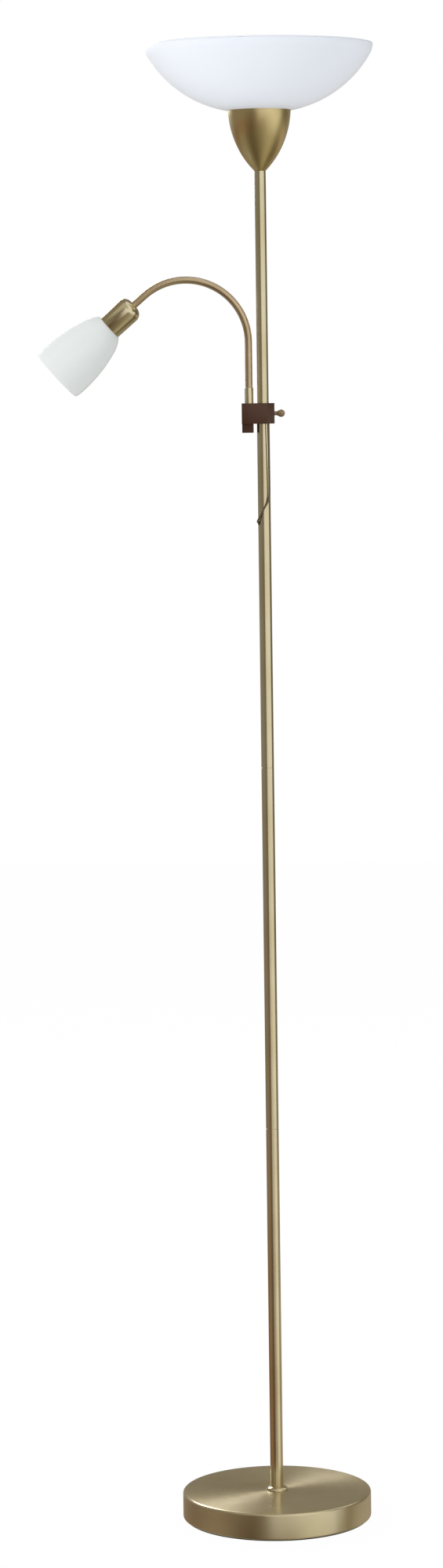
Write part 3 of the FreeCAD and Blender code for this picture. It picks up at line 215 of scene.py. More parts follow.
WHITE = (1, 1, 1, 1)
FLOOR_COLOUR = (0.86, 0.86, 0.86, 1)
FLOOR_SIZE = 14
FLOOR_GLOW = 0.97
SOFT_COLOUR = (0.95, 0.97, 1.0, 1)
SOFT_STRENGTH = 0.90
ROOM_LEVEL = [
    (-180, (0.40, 0.38, 0.34)),
    (-120, (0.29, 0.28, 0.25)),
    (-60, (0.28, 0.27, 0.23)),
    (-38, (0.26, 0.24, 0.19)),
    (-22, (0.20, 0.17, 0.13)),
    (-9, (0.21, 0.18, 0.14)),
    (-1, (0.97, 0.98, 0.93)),
    (87, (1.00, 1.00, 0.95)),
    (97, (0.14, 0.12, 0.08)),
    (125, (0.16, 0.14, 0.10)),
    (150, (0.34, 0.32, 0.28)),
    (180, (0.40, 0.38, 0.34)),
]
ROOM_BELOW = [
    (-180, (0.34, 0.26, 0.18)),
    (-115, (0.21, 0.11, 0.055)),
    (-85, (0.33, 0.18, 0.09)),
    (-60, (0.31, 0.16, 0.08)),
    (-44, (0.19, 0.09, 0.045)),
    (-28, (0.10, 0.04, 0.02)),
    (-14, (0.19, 0.12, 0.07)),
    (2, (0.33, 0.25, 0.17)),
    (15, (0.28, 0.21, 0.14)),
    (29, (0.50, 0.46, 0.38)),
    (46, (0.84, 0.82, 0.72)),
    (77, (1.00, 1.00, 0.92)),
    (84, (0.40, 0.34, 0.23)),
    (98, (0.40, 0.32, 0.20)),
    (120, (0.62, 0.55, 0.43)),
    (180, (0.34, 0.26, 0.18)),
]
ROOM_DEEP = [
    (-180, (0.36, 0.34, 0.28)),
    (-80, (0.34, 0.32, 0.26)),
    (-48, (0.11, 0.09, 0.05)),
    (-30, (0.11, 0.09, 0.05)),
    (10, (0.27, 0.23, 0.16)),
    (45, (0.50, 0.46, 0.34)),
    (68, (0.56, 0.52, 0.40)),
    (88, (0.17, 0.14, 0.08)),
    (108, (0.17, 0.14, 0.08)),
    (130, (0.34, 0.31, 0.24)),
    (180, (0.36, 0.34, 0.28)),
]
ROOM_RAISED = [
    (-180, (0.25, 0.22, 0.165)),
    (-120, (0.25, 0.23, 0.18)),
    (-45, (0.28, 0.26, 0.21)),
    (-24, (0.20, 0.16, 0.12)),
    (-17, (0.21, 0.17, 0.13)),
    (-11, (1.00, 1.00, 0.95)),
    (60, (1.00, 1.00, 0.95)),
    (70, (0.14, 0.12, 0.08)),
    (120, (0.16, 0.14, 0.10)),
    (150, (0.25, 0.22, 0.165)),
    (180, (0.25, 0.22, 0.165)),
]
ROOM_ABOVE = [
    (-180, (0.27, 0.24, 0.18)),
    (-75, (0.27, 0.24, 0.18)),
    (-60, (0.56, 0.53, 0.45)),
    (22, (0.56, 0.53, 0.45)),
    (30, (0.94, 0.91, 0.80)),
    (76, (0.94, 0.91, 0.80)),
    (82, (0.27, 0.24, 0.18)),
    (92, (0.27, 0.24, 0.18)),
    (105, (0.92, 0.88, 0.76)),
    (126, (0.92, 0.88, 0.76)),
    (140, (0.27, 0.24, 0.18)),
    (180, (0.27, 0.24, 0.18)),
]
ROOM_BANDS = [
    (-0.14, -0.22, ROOM_BELOW),
    (-0.32, -0.42, ROOM_DEEP),
    (0.07, 0.10, ROOM_RAISED),
    (0.34, 0.47, ROOM_ABOVE),
]


def reckon(tree, operation, first, second):
    """one number worked out from two in a node tree"""
    return add_node(tree, "Math", {0: first, 1: second}, operation=operation).outputs[0]


def room_colour(tree, bearing, stops):
    """the room's colour by bearing, stops in degrees from the front towards the right"""
    ramp = add_node(tree, "ValToRGB", {"Fac": bearing})
    elements = ramp.color_ramp.elements
    elements.remove(elements[-1])
    for number, (angle, colour) in enumerate(stops):
        position = (angle + 180) / 360
        stop = elements.new(position) if number else elements[0]
        stop.position = position
        stop.color = (*colour, 1)
    return ramp.outputs["Color"]


room = bpy.data.worlds.new("room")
bpy.context.scene.world = room
room.use_nodes = True
tree = room.node_tree
tree.nodes.clear()
generated = add_node(tree, "TexCoord").outputs["Generated"]
direction = add_node(tree, "SeparateXYZ", {0: generated}).outputs
towards_front = reckon(tree, "MULTIPLY", direction["Y"], -1)
turn = reckon(tree, "ARCTAN2", direction["X"], towards_front)
bearing = add_node(tree, "MapRange", {"Value": turn, "From Min": -math.pi, "From Max": math.pi})
bearing = bearing.outputs["Result"]
seen_in_metal = room_colour(tree, bearing, ROOM_LEVEL)
for first_height, full_height, stops in ROOM_BANDS:
    heights = {"Value": direction["Z"], "From Min": first_height, "From Max": full_height}
    share = add_node(tree, "MapRange", heights).outputs["Result"]
    band = {"Factor": share, "A": seen_in_metal, "B": room_colour(tree, bearing, stops)}
    seen_in_metal = add_node(tree, "Mix", band, data_type="RGBA").outputs["Result"]

ray = add_node(tree, "LightPath").outputs
soft_light = add_node(tree, "Background", {"Color": SOFT_COLOUR, "Strength": SOFT_STRENGTH}).outputs[0]
metal_room = add_node(tree, "Background", {"Color": seen_in_metal}).outputs[0]
white_room = add_node(tree, "Background", {"Color": WHITE}).outputs[0]
shiny = {"Fac": ray["Is Glossy Ray"], 1: soft_light, 2: metal_room}
for_metal = add_node(tree, "MixShader", shiny).outputs[0]
seen_or_through = reckon(tree, "MAXIMUM", ray["Is Camera Ray"], ray["Is Transmission Ray"])
for_camera = add_node(tree, "MixShader", {"Fac": seen_or_through, 1: for_metal, 2: white_room}).outputs[0]
add_node(tree, "OutputWorld", {"Surface": for_camera})

bpy.ops.mesh.primitive_plane_add(size=FLOOR_SIZE)
floor = bpy.context.object
floor.name = "floor"
floor.visible_glossy = False
floor_paint = bpy.data.materials.new("floor_paint")
floor_paint.use_nodes = True
tree = floor_paint.node_tree
tree.nodes.clear()
lit = add_node(tree, "BsdfDiffuse", {"Color": FLOOR_COLOUR}).outputs[0]
plain = add_node(tree, "Emission", {"Color": WHITE}).outputs[0]
share = reckon(tree, "MULTIPLY", add_node(tree, "LightPath").outputs["Is Camera Ray"], FLOOR_GLOW)
mixed = add_node(tree, "MixShader", {"Fac": share, 1: lit, 2: plain}).outputs[0]
add_node(tree, "OutputMaterial", {"Surface": mixed})
floor.data.materials.append(floor_paint)


def soft_lamp(name, place, aim, width, height, power):
    """a rectangular soft box at a place, facing a point"""
    bpy.ops.object.light_add(type="AREA", location=place)
    lamp = bpy.context.object
    lamp.name = name
    lamp.data.shape = "RECTANGLE"
    lamp.data.size = width
    lamp.data.size_y = height
    lamp.data.energy = power
    lamp.rotation_euler = (Vector(place) - Vector(aim)).to_track_quat("Z", "Y").to_euler()
    return lamp


light_left = soft_lamp("light_left", (-3.0, -2.6, 2.6), aim=(0, 0, 1.3), width=1.8, height=2.2, power=40)
light_left.visible_glossy = False
soft_lamp("light_behind", (-1.5, 2.4, 2.4), aim=(0, 0, 0.2), width=1.9, height=1.2, power=42)
bpy.ops.object.select_all(action="DESELECT")


# Foot: a heavy round foot under a spun steel cover. The cover is brushed while it turns on the lathe, so
# fine rings run round it, and it is plated and lacquered as aged brass. Its lower edge is rolled in.

SMOOTH_ROUND = 192


def bowed(start, finish, radius, steps):
    """(radius, height) rings of an arc that bulges away from the axis, without its first point"""
    a, b = Vector(start), Vector(finish)
    chord = b - a
    left = Vector((-chord.y, chord.x)).normalized()
    centre = (a + b) / 2 + left * math.sqrt(radius**2 - (chord.length / 2) ** 2)
    first = math.atan2(a.y - centre.y, a.x - centre.x)
    sweep = 2 * math.asin(chord.length / 2 / radius)
    rings = []
    for step in range(1, steps + 1):
        angle = first + sweep * step / steps
        rings.append((centre.x + radius * math.cos(angle), centre.y + radius * math.sin(angle)))
    return rings


def turned(name, rings, around=SMOOTH_ROUND, closed=True):
    """A turned piece on the pole's axis. A circle is drawn and pulled up and in or out from ring to ring,
    and a closed outline comes back to its first ring."""
    rings = list(rings)
    if closed:
        rings.append(rings[0])
    bpy.ops.object.select_all(action="DESELECT")
    first_radius, first_height = rings[0]
    bpy.ops.mesh.primitive_circle_add(
        vertices=around, radius=first_radius, location=(0, 0, first_height)
    )
    piece = bpy.context.object
    piece.name = name
    bpy.ops.object.mode_set(mode="EDIT")
    for (radius, height), (next_radius, next_height) in zip(rings, rings[1:]):
        rise = {"value": (0, 0, next_height - height)}
        bpy.ops.mesh.extrude_edges_move(TRANSFORM_OT_translate=rise)
        scale = next_radius / radius
        bpy.ops.transform.resize(value=(scale, scale, 1))
    bpy.ops.mesh.select_all(action="SELECT")
    bpy.ops.mesh.remove_doubles(threshold=2e-6)
    bpy.ops.mesh.normals_make_consistent(inside=False)
    bpy.ops.object.mode_set(mode="OBJECT")
    bpy.ops.object.transform_apply(location=True, rotation=True, scale=True)
    bpy.ops.object.shade_smooth_by_angle(angle=math.radians(35))
    return piece


def finish_piece(piece, material, body, slot, *nodes):
    """gives a piece its material, the body that it moves with and the nodes that it stands for"""
    piece.data.materials.clear()
    piece.data.materials.append(material)
    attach(piece, body)
    if nodes:
        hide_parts(*nodes)
    bpy.ops.object.select_all(action="DESELECT")
    return piece


def grain_group(name, label, marks, patina, make_marks):
    """A shader node group that puts out the fine marks of a way of working, which make_marks draws, and a
    slow patina. marks and patina are their usual scales."""
    group = bpy.data.node_groups.new(name, "ShaderNodeTree")
    group.interface.new_socket("Place", in_out="INPUT", socket_type="NodeSocketVector")
    for scale_name, default in ((label, marks), ("Patina", patina)):
        scale = group.interface.new_socket(scale_name, in_out="INPUT", socket_type="NodeSocketFloat")
        scale.default_value = default
    for output_name in ("Grain", "Patina"):
        group.interface.new_socket(output_name, in_out="OUTPUT", socket_type="NodeSocketFloat")
    given = group.nodes.new("NodeGroupInput").outputs
    place = add_node(group, "SeparateXYZ", {0: given["Place"]}).outputs
    slow = {"Detail": 3, "Vector": given["Place"], "Scale": given["Patina"]}
    slow_patina = add_node(group, "TexNoise", slow).outputs["Fac"]
    fine_marks = make_marks(group, place, given[label])
    wire(group, group.nodes.new("NodeGroupOutput"), {"Grain": fine_marks, "Patina": slow_patina})
    return group


def rings_round(group, place, count):
    """fine rings round the Z axis, as the brush leaves them on a turning piece"""
    flat = add_node(group, "CombineXYZ", {"X": place["X"], "Y": place["Y"]}).outputs[0]
    reach = add_node(group, "VectorMath", {0: flat}, operation="LENGTH").outputs["Value"]
    section = add_node(group, "CombineXYZ", {"X": reach, "Y": place["Z"]}).outputs[0]
    scaled = add_node(group, "VectorMath", {0: section, "Scale": count}, operation="SCALE").outputs[0]
    noise = {"Scale": 1, "Detail": 4, "Roughness": 0.7, "Vector": scaled}
    return add_node(group, "TexNoise", noise).outputs["Fac"]


def lines_along(group, place, count):
    """fine lines along Z, as polishing leaves them on a tube"""
    across = reckon(group, "MULTIPLY", reckon(group, "ARCTAN2", place["Y"], place["X"]), count)
    along = reckon(group, "MULTIPLY", place["Z"], 60)
    unrolled = add_node(group, "CombineXYZ", {"X": across, "Y": along}).outputs[0]
    return add_node(group, "TexNoise", {"Scale": 1, "Detail": 3, "Vector": unrolled}).outputs["Fac"]


SPUN_GRAIN = grain_group("spun_grain", "Rings", 1400.0, 14.0, rings_round)
DRAWN_GRAIN = grain_group("drawn_grain", "Lines", 90.0, 9.0, lines_along)
AGED_BRASS = (0.62, 0.53, 0.34), (0.70, 0.62, 0.43)
OLIVE_BRASS = (0.60, 0.48, 0.24), (0.70, 0.58, 0.31)
WARM_BRASS = (0.56, 0.43, 0.28), (0.68, 0.55, 0.38)
DARK_BRASS = (0.25, 0.165, 0.10), (0.36, 0.255, 0.16)


def brass(name, grain, roughness, tones=AGED_BRASS, anisotropy=0.0, relief=0.05, laid=None):
    """Aged brass plating under lacquer. The grain group roughens it and the patina shifts it between its
    two tones; laid is the origin and turn about Y of a piece that doesn't stand on the pole's axis."""
    material, tree, metal, place = new_material(name)
    if laid:
        upright = {"Vector": place, "Location": laid[0], "Rotation": (0, laid[1], 0)}
        place = add_node(tree, "Mapping", upright, vector_type="TEXTURE").outputs["Vector"]
    marks = add_node(tree, "Group", {"Place": place}, node_tree=grain).outputs
    worn = add_node(tree, "MapRange", {"Value": marks["Patina"], "From Min": 0.35, "From Max": 0.6})
    blend = {"Factor": worn.outputs["Result"], "A": (*tones[0], 1), "B": (*tones[1], 1)}
    dull = {"Value": marks["Grain"], "From Min": 0.3, "From Max": 0.7}
    dull |= {"To Min": roughness[0], "To Max": roughness[1]}
    finish = {
        "Metallic": 1,
        "Coat Weight": 0.15,
        "Coat Roughness": 0.12,
        "Anisotropic": anisotropy,
        "Base Color": add_node(tree, "Mix", blend, data_type="RGBA").outputs["Result"],
        "Roughness": add_node(tree, "MapRange", dull).outputs["Result"],
    }
    if anisotropy:
        round_axis = add_node(tree, "Tangent", direction_type="RADIAL", axis="Z")
        finish |= {"Tangent": round_axis.outputs["Tangent"], "Anisotropic Rotation": 0.25}
    wire(tree, metal, finish)
    add_relief(tree, metal, marks["Grain"], relief, 0.0002)
    return material


foot_low, foot_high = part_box("base_cover")
FOOT_RADIUS = foot_high.x
FOOT_TOP = foot_high.z
FOOT_BOTTOM = foot_low.z
FOOT_SHEET = 0.0008
FOOT_ROUND = 0.003
FOOT_ROLL = 0.0022
FOOT_LIP = 0.0034
THREAD_HOLE = 0.00505

foot_rings = [(FOOT_RADIUS - FOOT_LIP, FOOT_BOTTOM), (FOOT_RADIUS - FOOT_ROLL, FOOT_BOTTOM)]
foot_rings += bowed(foot_rings[-1], (FOOT_RADIUS, FOOT_BOTTOM + FOOT_ROLL), FOOT_ROLL, 8)
foot_rings.append((FOOT_RADIUS, (FOOT_BOTTOM + FOOT_TOP) / 2))
foot_rings.append((FOOT_RADIUS, FOOT_TOP - FOOT_ROUND))
foot_rings += bowed(foot_rings[-1], (FOOT_RADIUS - FOOT_ROUND, FOOT_TOP), FOOT_ROUND, 10)
foot_rings += [(FOOT_RADIUS * share, FOOT_TOP) for share in (0.8, 0.6, 0.4, 0.2)]
foot_rings += [
    (THREAD_HOLE, FOOT_TOP),
    (THREAD_HOLE, FOOT_TOP - FOOT_SHEET),
    (FOOT_RADIUS - FOOT_ROUND, FOOT_TOP - FOOT_SHEET),
    (FOOT_RADIUS - FOOT_SHEET, FOOT_TOP - FOOT_ROUND),
    (FOOT_RADIUS - FOOT_SHEET, FOOT_BOTTOM + FOOT_ROLL),
    (FOOT_RADIUS - FOOT_ROLL, FOOT_BOTTOM + FOOT_SHEET),
    (FOOT_RADIUS - FOOT_LIP, FOOT_BOTTOM + FOOT_SHEET),
]
foot_brass = brass("foot_brass", SPUN_GRAIN, (0.26, 0.36), anisotropy=0.75, relief=0.04)
foot = turned("foot_cover", foot_rings, around=256)
finish_piece(foot, foot_brass, "stand", "finish", "base_cover")


# Tray under the foot: black moulded plastic, glued in under the weight. Only its edge shows, as the thin
# dark line that the foot stands on.


def moulded(name, colour, roughness=(0.42, 0.58), scale=1800, relief=0.12):
    """moulded plastic with a fine leathery surface"""
    shade = [c * 0.88 for c in colour]
    return mottled(name, scale, [shade, colour], roughness, stops=(0.3, 0.7), relief=relief)


def dress_nodes(material, *names):
    """gives construction nodes that keep their own shape a material of this scene"""
    for name in names:
        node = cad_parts[name]
        node.data.materials.clear()
        node.data.materials.append(material)


black_plastic = moulded("black_plastic", (0.022, 0.020, 0.018))
dress_nodes(black_plastic, "base_tray", "mains_inlet", "pole_grommet")


# Collar: a small domed brass ring round the bottom of the pole, pressed over it and down on the foot.

collar_low, collar_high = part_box("foot_collar")
COLLAR_RADIUS = collar_high.x
COLLAR_HOLE = 0.00785
COLLAR_TOP_RADIUS = COLLAR_HOLE + 0.0005
COLLAR_EDGE = collar_low.z + 0.0012
COLLAR_CHAMFER = 0.0003
COLLAR_ARC = 0.0072
COLLAR_LIP = 0.0002
collar_rings = [
    (COLLAR_HOLE, collar_low.z),
    (COLLAR_RADIUS - COLLAR_CHAMFER, collar_low.z),
    (COLLAR_RADIUS, collar_low.z + COLLAR_CHAMFER),
    (COLLAR_RADIUS, COLLAR_EDGE),
]
collar_rings += bowed(collar_rings[-1], (COLLAR_TOP_RADIUS, collar_high.z), COLLAR_ARC, 10)
collar_rings.append((COLLAR_HOLE, collar_high.z - COLLAR_LIP))
turned_brass = brass("turned_brass", SPUN_GRAIN, (0.16, 0.26), relief=0.03)
collar = turned("collar", collar_rings, around=96)
finish_piece(collar, turned_brass, "stand", "finish", "foot_collar")


# Pole: three lengths of steel tube screwed end to end and a thinner one above the clamp, all polished
# along their length and finished as aged brass. Each end is broken by a fine chamfer, so a seam shows.

TUBE_WALL = 0.001
SEAM = 0.0003
tube_brass = brass("tube_brass", DRAWN_GRAIN, (0.17, 0.24), relief=0.03)
for tube_name in ("pole_tube_1", "pole_tube_2", "pole_tube_3", "upper_tube"):
    tube_low, tube_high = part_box(tube_name)
    outside = (tube_high.y - tube_low.y) / 2
    inside = outside - TUBE_WALL
    tube_rings = [
        (inside, tube_low.z),
        (outside - SEAM, tube_low.z),
        (outside, tube_low.z + SEAM),
        (outside, tube_high.z - SEAM),
        (outside - SEAM, tube_high.z),
        (inside, tube_high.z),
    ]
    tube = turned(tube_name + "_piece", tube_rings, around=96)
    finish_piece(tube, tube_brass, "stand", "finish", tube_name)


# Cup: spun from brass-finished steel sheet, screwed to the top of the pole. It opens from the pole's width
# into a tulip shape whose edge meets the glass.

cup_low, cup_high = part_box("cup")
CUP_HOLE = 0.0051
CUP_FOOT = 0.0074
CUP_CHAMFER = 0.0004
CUP_FLANK = (0.022, cup_low.z + 0.0192)
CUP_MOUTH = (0.0385, cup_high.z)
CUP_ARC = 0.115
CUP_FOOT_ARC = 0.114
CUP_SHEET = 0.0009
CUP_FLANK_WALL = 0.0011
cup_rings = [
    (CUP_HOLE, cup_low.z),
    (CUP_FOOT - CUP_CHAMFER, cup_low.z),
    (CUP_FOOT, cup_low.z + CUP_CHAMFER),
]
cup_rings += bowed(cup_rings[-1], CUP_FLANK, CUP_FOOT_ARC, 12)
cup_outside = bowed(CUP_FLANK, CUP_MOUTH, CUP_ARC, 24)
cup_rings += cup_outside
cup_rings += [(radius - CUP_SHEET, height) for radius, height in reversed(cup_outside)]
cup_rings += [
    (CUP_FLANK[0] - CUP_FLANK_WALL, CUP_FLANK[1]),
    (CUP_FOOT - CUP_CHAMFER, cup_low.z + CUP_SHEET),
    (CUP_HOLE, cup_low.z + CUP_SHEET),
]
cup_brass = brass("cup_brass", SPUN_GRAIN, (0.28, 0.38), OLIVE_BRASS, relief=0.04)
cup = turned("cup_piece", cup_rings)
finish_piece(cup, cup_brass, "stand", "finish", "cup")


# Upper lampholder and bulb: a white moulded holder with a flange that carries the glass, a ring screwed
# down on it with grips round its edge, and a frosted bulb with its threaded brass cap.

RING_EDGE = 0.0004
RING_BEVEL = 0.0008
GRIP_REACH = 0.0007
GRIP_CLEAR = 0.0001
PLAY = 0.00005
white_plastic = moulded("white_plastic", (0.80, 0.80, 0.77), (0.22, 0.32), scale=900, relief=0.05)


def pick(piece, elements, wanted):
    """in edit mode, selects only those faces or vertices of a piece that wanted says yes to"""
    bpy.ops.mesh.select_all(action="DESELECT")
    bpy.ops.object.mode_set(mode="OBJECT")
    for element in getattr(piece.data, elements):
        element.select = wanted(element)
    bpy.ops.object.mode_set(mode="EDIT")


def gripped_ring(name, node, material, grips, hole):
    """a turned shade ring with every other stretch of its outside drawn out into a grip"""
    low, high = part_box(node)
    barrel = high.x - GRIP_REACH - GRIP_CLEAR
    rings = [
        (hole, low.z),
        (barrel - RING_EDGE, low.z),
        (barrel, low.z + RING_EDGE),
        (barrel, high.z - RING_BEVEL),
        (barrel - RING_BEVEL, high.z),
        (hole, high.z),
    ]
    ring = turned(name, rings, around=grips * 4)
    middle = (low.z + high.z) / 2

    def on_a_grip(face):
        x, y, z = face.center
        stretch = int((math.atan2(y, x) + math.pi) / (2 * math.pi) * grips * 4)
        on_barrel = math.hypot(x, y) > barrel - 0.0002 and abs(z - middle) < 0.001
        return on_barrel and stretch % 4 < 2

    bpy.ops.object.mode_set(mode="EDIT")
    pick(ring, "polygons", on_a_grip)
    bpy.ops.mesh.extrude_region_shrink_fatten(TRANSFORM_OT_shrink_fatten={"value": GRIP_REACH})
    bpy.ops.object.mode_set(mode="OBJECT")
    return finish_piece(ring, material, "stand", "holder_plastic", node)


gripped_ring("uplight_ring_piece", "uplight_ring", white_plastic, grips=20, hole=0.01955)

holder_low, holder_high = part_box("uplight_holder")
glass_low, glass_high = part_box("bowl")
HOLDER_BACK = 0.011
HOLDER_CONE = 0.007
HOLDER_FLOOR = 0.010
SKIRT = 0.0195
SKIRT_BORE = SKIRT - 0.0026
BORE_LIP = 0.0003
FLANGE = 0.024
FLANGE_EDGE = 0.0004
FLANGE_TOP = glass_low.z - PLAY
FLANGE_BOTTOM = FLANGE_TOP - 0.0028
THREAD_PITCH = 0.0024
THREAD_DEPTH = 0.0006
THREAD_BELOW = 0.0046
holder_rings = [
    (THREAD_HOLE, holder_low.z),
    (HOLDER_BACK, holder_low.z),
    (SKIRT, holder_low.z + HOLDER_CONE),
    (SKIRT, FLANGE_BOTTOM),
    (FLANGE - FLANGE_EDGE, FLANGE_BOTTOM),
    (FLANGE, FLANGE_BOTTOM + FLANGE_EDGE),
    (FLANGE, FLANGE_TOP),
    (SKIRT, FLANGE_TOP),
    (SKIRT, FLANGE_TOP + THREAD_BELOW),
]
thread = FLANGE_TOP + THREAD_BELOW + THREAD_PITCH / 2
while thread < holder_high.z - THREAD_PITCH:
    holder_rings += [
        (SKIRT - THREAD_DEPTH, thread),
        (SKIRT, thread + THREAD_PITCH * 0.3),
        (SKIRT, thread + THREAD_PITCH * 0.6),
        (SKIRT - THREAD_DEPTH, thread + THREAD_PITCH * 0.9),
    ]
    thread += THREAD_PITCH
holder_rings += [
    (SKIRT - 0.0005, holder_high.z),
    (SKIRT_BORE + BORE_LIP, holder_high.z),
    (SKIRT_BORE, holder_high.z - 0.0004),
    (SKIRT_BORE, holder_low.z + HOLDER_FLOOR),
    (THREAD_HOLE, holder_low.z + HOLDER_FLOOR),
]
holder = turned("uplight_holder_piece", holder_rings, around=96)
finish_piece(holder, white_plastic, "stand", "holder_plastic", "uplight_holder")


def frosted(name, colour, glow):
    """opal glass: dense white with a soft gloss, and light carried a little way through it"""
    material, tree, glass, place = new_material(name)
    cloud = add_node(tree, "TexNoise", {"Scale": 7, "Detail": 2, "Vector": place}).outputs["Fac"]
    milk = {"Factor": cloud, "A": (*(c * 0.985 for c in colour), 1), "B": (*colour, 1)}
    satin = add_node(tree, "TexNoise", {"Scale": 2600, "Vector": place}).outputs["Fac"]
    dull = {"Value": satin, "To Min": 0.34, "To Max": 0.46}
    finish = {
        "IOR": 1.5,
        "Subsurface Weight": glow,
        "Subsurface Radius": (1.0, 1.0, 1.0),
        "Subsurface Scale": 0.004,
        "Coat Weight": 0.2,
        "Coat Roughness": 0.25,
        "Base Color": add_node(tree, "Mix", milk, data_type="RGBA").outputs["Result"],
        "Roughness": add_node(tree, "MapRange", dull).outputs["Result"],
    }
    wire(tree, glass, finish)
    add_relief(tree, glass, satin, 0.02, 0.0001)
    return material


bulb_glass = frosted("bulb_glass", (0.88, 0.88, 0.87), glow=0.1)
bulb_cap_brass = brass("bulb_cap_brass", SPUN_GRAIN, (0.18, 0.26), relief=0.02)


def bulb(name, tip, ball, length, cap, cap_length):
    """the closed glass of a frosted bulb on the pole's axis: a neck out of its cap that flares into a ball"""
    low = tip + cap_length + PLAY
    centre = tip + length - ball
    foot = (ball * 0.6, centre - ball * 0.8)
    neck = cap - 0.0001
    flare = low + (foot[1] - low) * 0.7
    rings = [
        (neck, low),
        (neck + 0.0006, flare),
        ((neck + foot[0]) / 2 + 0.0002, (flare + foot[1]) / 2 + 0.0003),
        foot,
    ]
    rings += bowed(foot, (0.0004, centre + ball), ball, 26)
    glass = turned(name, rings, around=96, closed=False)
    bpy.ops.object.mode_set(mode="EDIT")
    bpy.ops.mesh.select_all(action="SELECT")
    bpy.ops.mesh.fill_holes(sides=0)
    bpy.ops.mesh.normals_make_consistent(inside=False)
    bpy.ops.object.mode_set(mode="OBJECT")
    return glass


cap_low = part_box("uplight_bulb_cap")[0]
big_bulb = bulb("uplight_bulb_piece", cap_low.z, ball=0.030, length=0.113, cap=0.0132, cap_length=0.026)
finish_piece(big_bulb, bulb_glass, "stand", "bulb_glass", "uplight_bulb_glass")


# Bowl: a wide shallow shade of blown opal glass with a satin surface and a fire-polished rim. It stands on
# the lampholder's flange, and the ring holds it down.

BOWL_FOOT = 0.0396
BOWL_SIDE = (0.1375, glass_low.z + 0.0697)
BOWL_ARC = 0.1404
BOWL_RIM_ARC = 0.030
BOWL_WALL = 0.0036
BOWL_RIM = (0.140, glass_high.z)
BOWL_NECK = 0.0201
RIM_STEPS = 8


def glass_rings(neck, foot, stretches, wall):
    """rings of a glass shade: outside from the neck hole to the rim, over the rounded rim and back down
    inside; each stretch is (end, arc radius, steps)"""
    outside = [foot]
    for end, radius, steps in stretches:
        outside += bowed(outside[-1], end, radius, steps)
    rim_radius, rim_height = outside[-1]
    reach = wall / 2
    outside[-1] = (rim_radius, rim_height - reach)
    rim = []
    for step in range(1, RIM_STEPS):
        angle = math.pi * step / RIM_STEPS
        over = rim_height - reach + reach * math.sin(angle)
        rim.append((rim_radius - reach + reach * math.cos(angle), over))
    inside = [(rim_radius - wall, rim_height - reach)]
    for after, here, before in reversed(list(zip(outside, outside[1:-1], outside[2:]))):
        along = (Vector(before) - Vector(after)).normalized()
        inside.append(tuple(Vector(here) + Vector((-along.y, along.x)) * wall))
    inside += [(foot[0] - reach, foot[1] + wall), (neck, foot[1] + wall)]
    return [(neck, foot[1])] + outside + rim + inside


bowl_stretches = [(BOWL_SIDE, BOWL_ARC, 40), (BOWL_RIM, BOWL_RIM_ARC, 8)]
bowl_rings = glass_rings(BOWL_NECK, (BOWL_FOOT, glass_low.z), bowl_stretches, BOWL_WALL)
bowl_glass = frosted("bowl_glass", (0.87, 0.895, 0.95), glow=0.25)
bowl = turned("bowl_piece", bowl_rings, around=256)
finish_piece(bowl, bowl_glass, "stand", "large_glass", "bowl")


# Clamp: a block of cast metal in dark brown enamel that holds the arm beside the pole. Its right corners are
# cut off, a leg comes down under the arm, and a split sleeve and a thumbscrew grip the pole.

block_low, block_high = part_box("clamp_body")
BLOCK_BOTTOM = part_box("clamp_sleeve")[0].z
LEG_RIGHT = block_low.x + 0.0133
LEG_DEPTH = 0.0085
CORNER_ACROSS = 0.008
CORNER_DEEP = 0.0065
BORE_RADIUS = 0.00946
BORE_DEPTH = 0.1
ARM_SOCKET_RADIUS = 0.00535
ARM_SOCKET_DEPTH = 0.012
ARM_X = -0.017
NEAR = 1e-5


def apply_modifier(piece, name, kind, **choices):
    """gives the active piece a modifier and applies it"""
    modifier = piece.modifiers.new(name, kind)
    for choice, value in choices.items():
        setattr(modifier, choice, value)
    bpy.ops.object.modifier_apply(modifier=modifier.name)


def slice_across(point, direction):
    """cuts the whole of the piece in edit mode along a plane and keeps both sides"""
    bpy.ops.mesh.select_all(action="SELECT")
    bpy.ops.mesh.bisect(plane_co=point, plane_no=direction)


bpy.ops.mesh.primitive_cube_add(size=1)
block = bpy.context.object
block.name = "clamp_piece"
bpy.ops.object.mode_set(mode="EDIT")
bpy.ops.transform.resize(
    value=(block_high.x - block_low.x, block_high.y - block_low.y, block_high.z - BLOCK_BOTTOM)
)
middle_of_block = (
    (block_low.x + block_high.x) / 2,
    (block_low.y + block_high.y) / 2,
    (BLOCK_BOTTOM + block_high.z) / 2,
)
bpy.ops.transform.translate(value=middle_of_block)
for cut_x in (LEG_RIGHT, block_high.x - CORNER_ACROSS):
    slice_across((cut_x, 0, 0), (1, 0, 0))
for cut_y in (-LEG_DEPTH, LEG_DEPTH):
    pick(block, "polygons", lambda face: face.center.x < LEG_RIGHT)
    bpy.ops.mesh.bisect(plane_co=(0, cut_y, 0), plane_no=(0, 1, 0))


def under_the_arm(face):
    over_leg = face.center.x < LEG_RIGHT and abs(face.center.y) < LEG_DEPTH
    return over_leg and face.normal.z < -0.5


pick(block, "polygons", under_the_arm)
bpy.ops.mesh.extrude_region_move(
    TRANSFORM_OT_translate={"value": (0, 0, block_low.z - BLOCK_BOTTOM)}
)
for side in (-1, 1):

    def at_this_corner(vertex):
        return vertex.co.x > block_high.x - NEAR and vertex.co.y * side > block_high.y - NEAR

    pick(block, "vertices", at_this_corner)
    bpy.ops.transform.translate(value=(0, -side * CORNER_DEEP, 0))
bpy.ops.object.mode_set(mode="OBJECT")

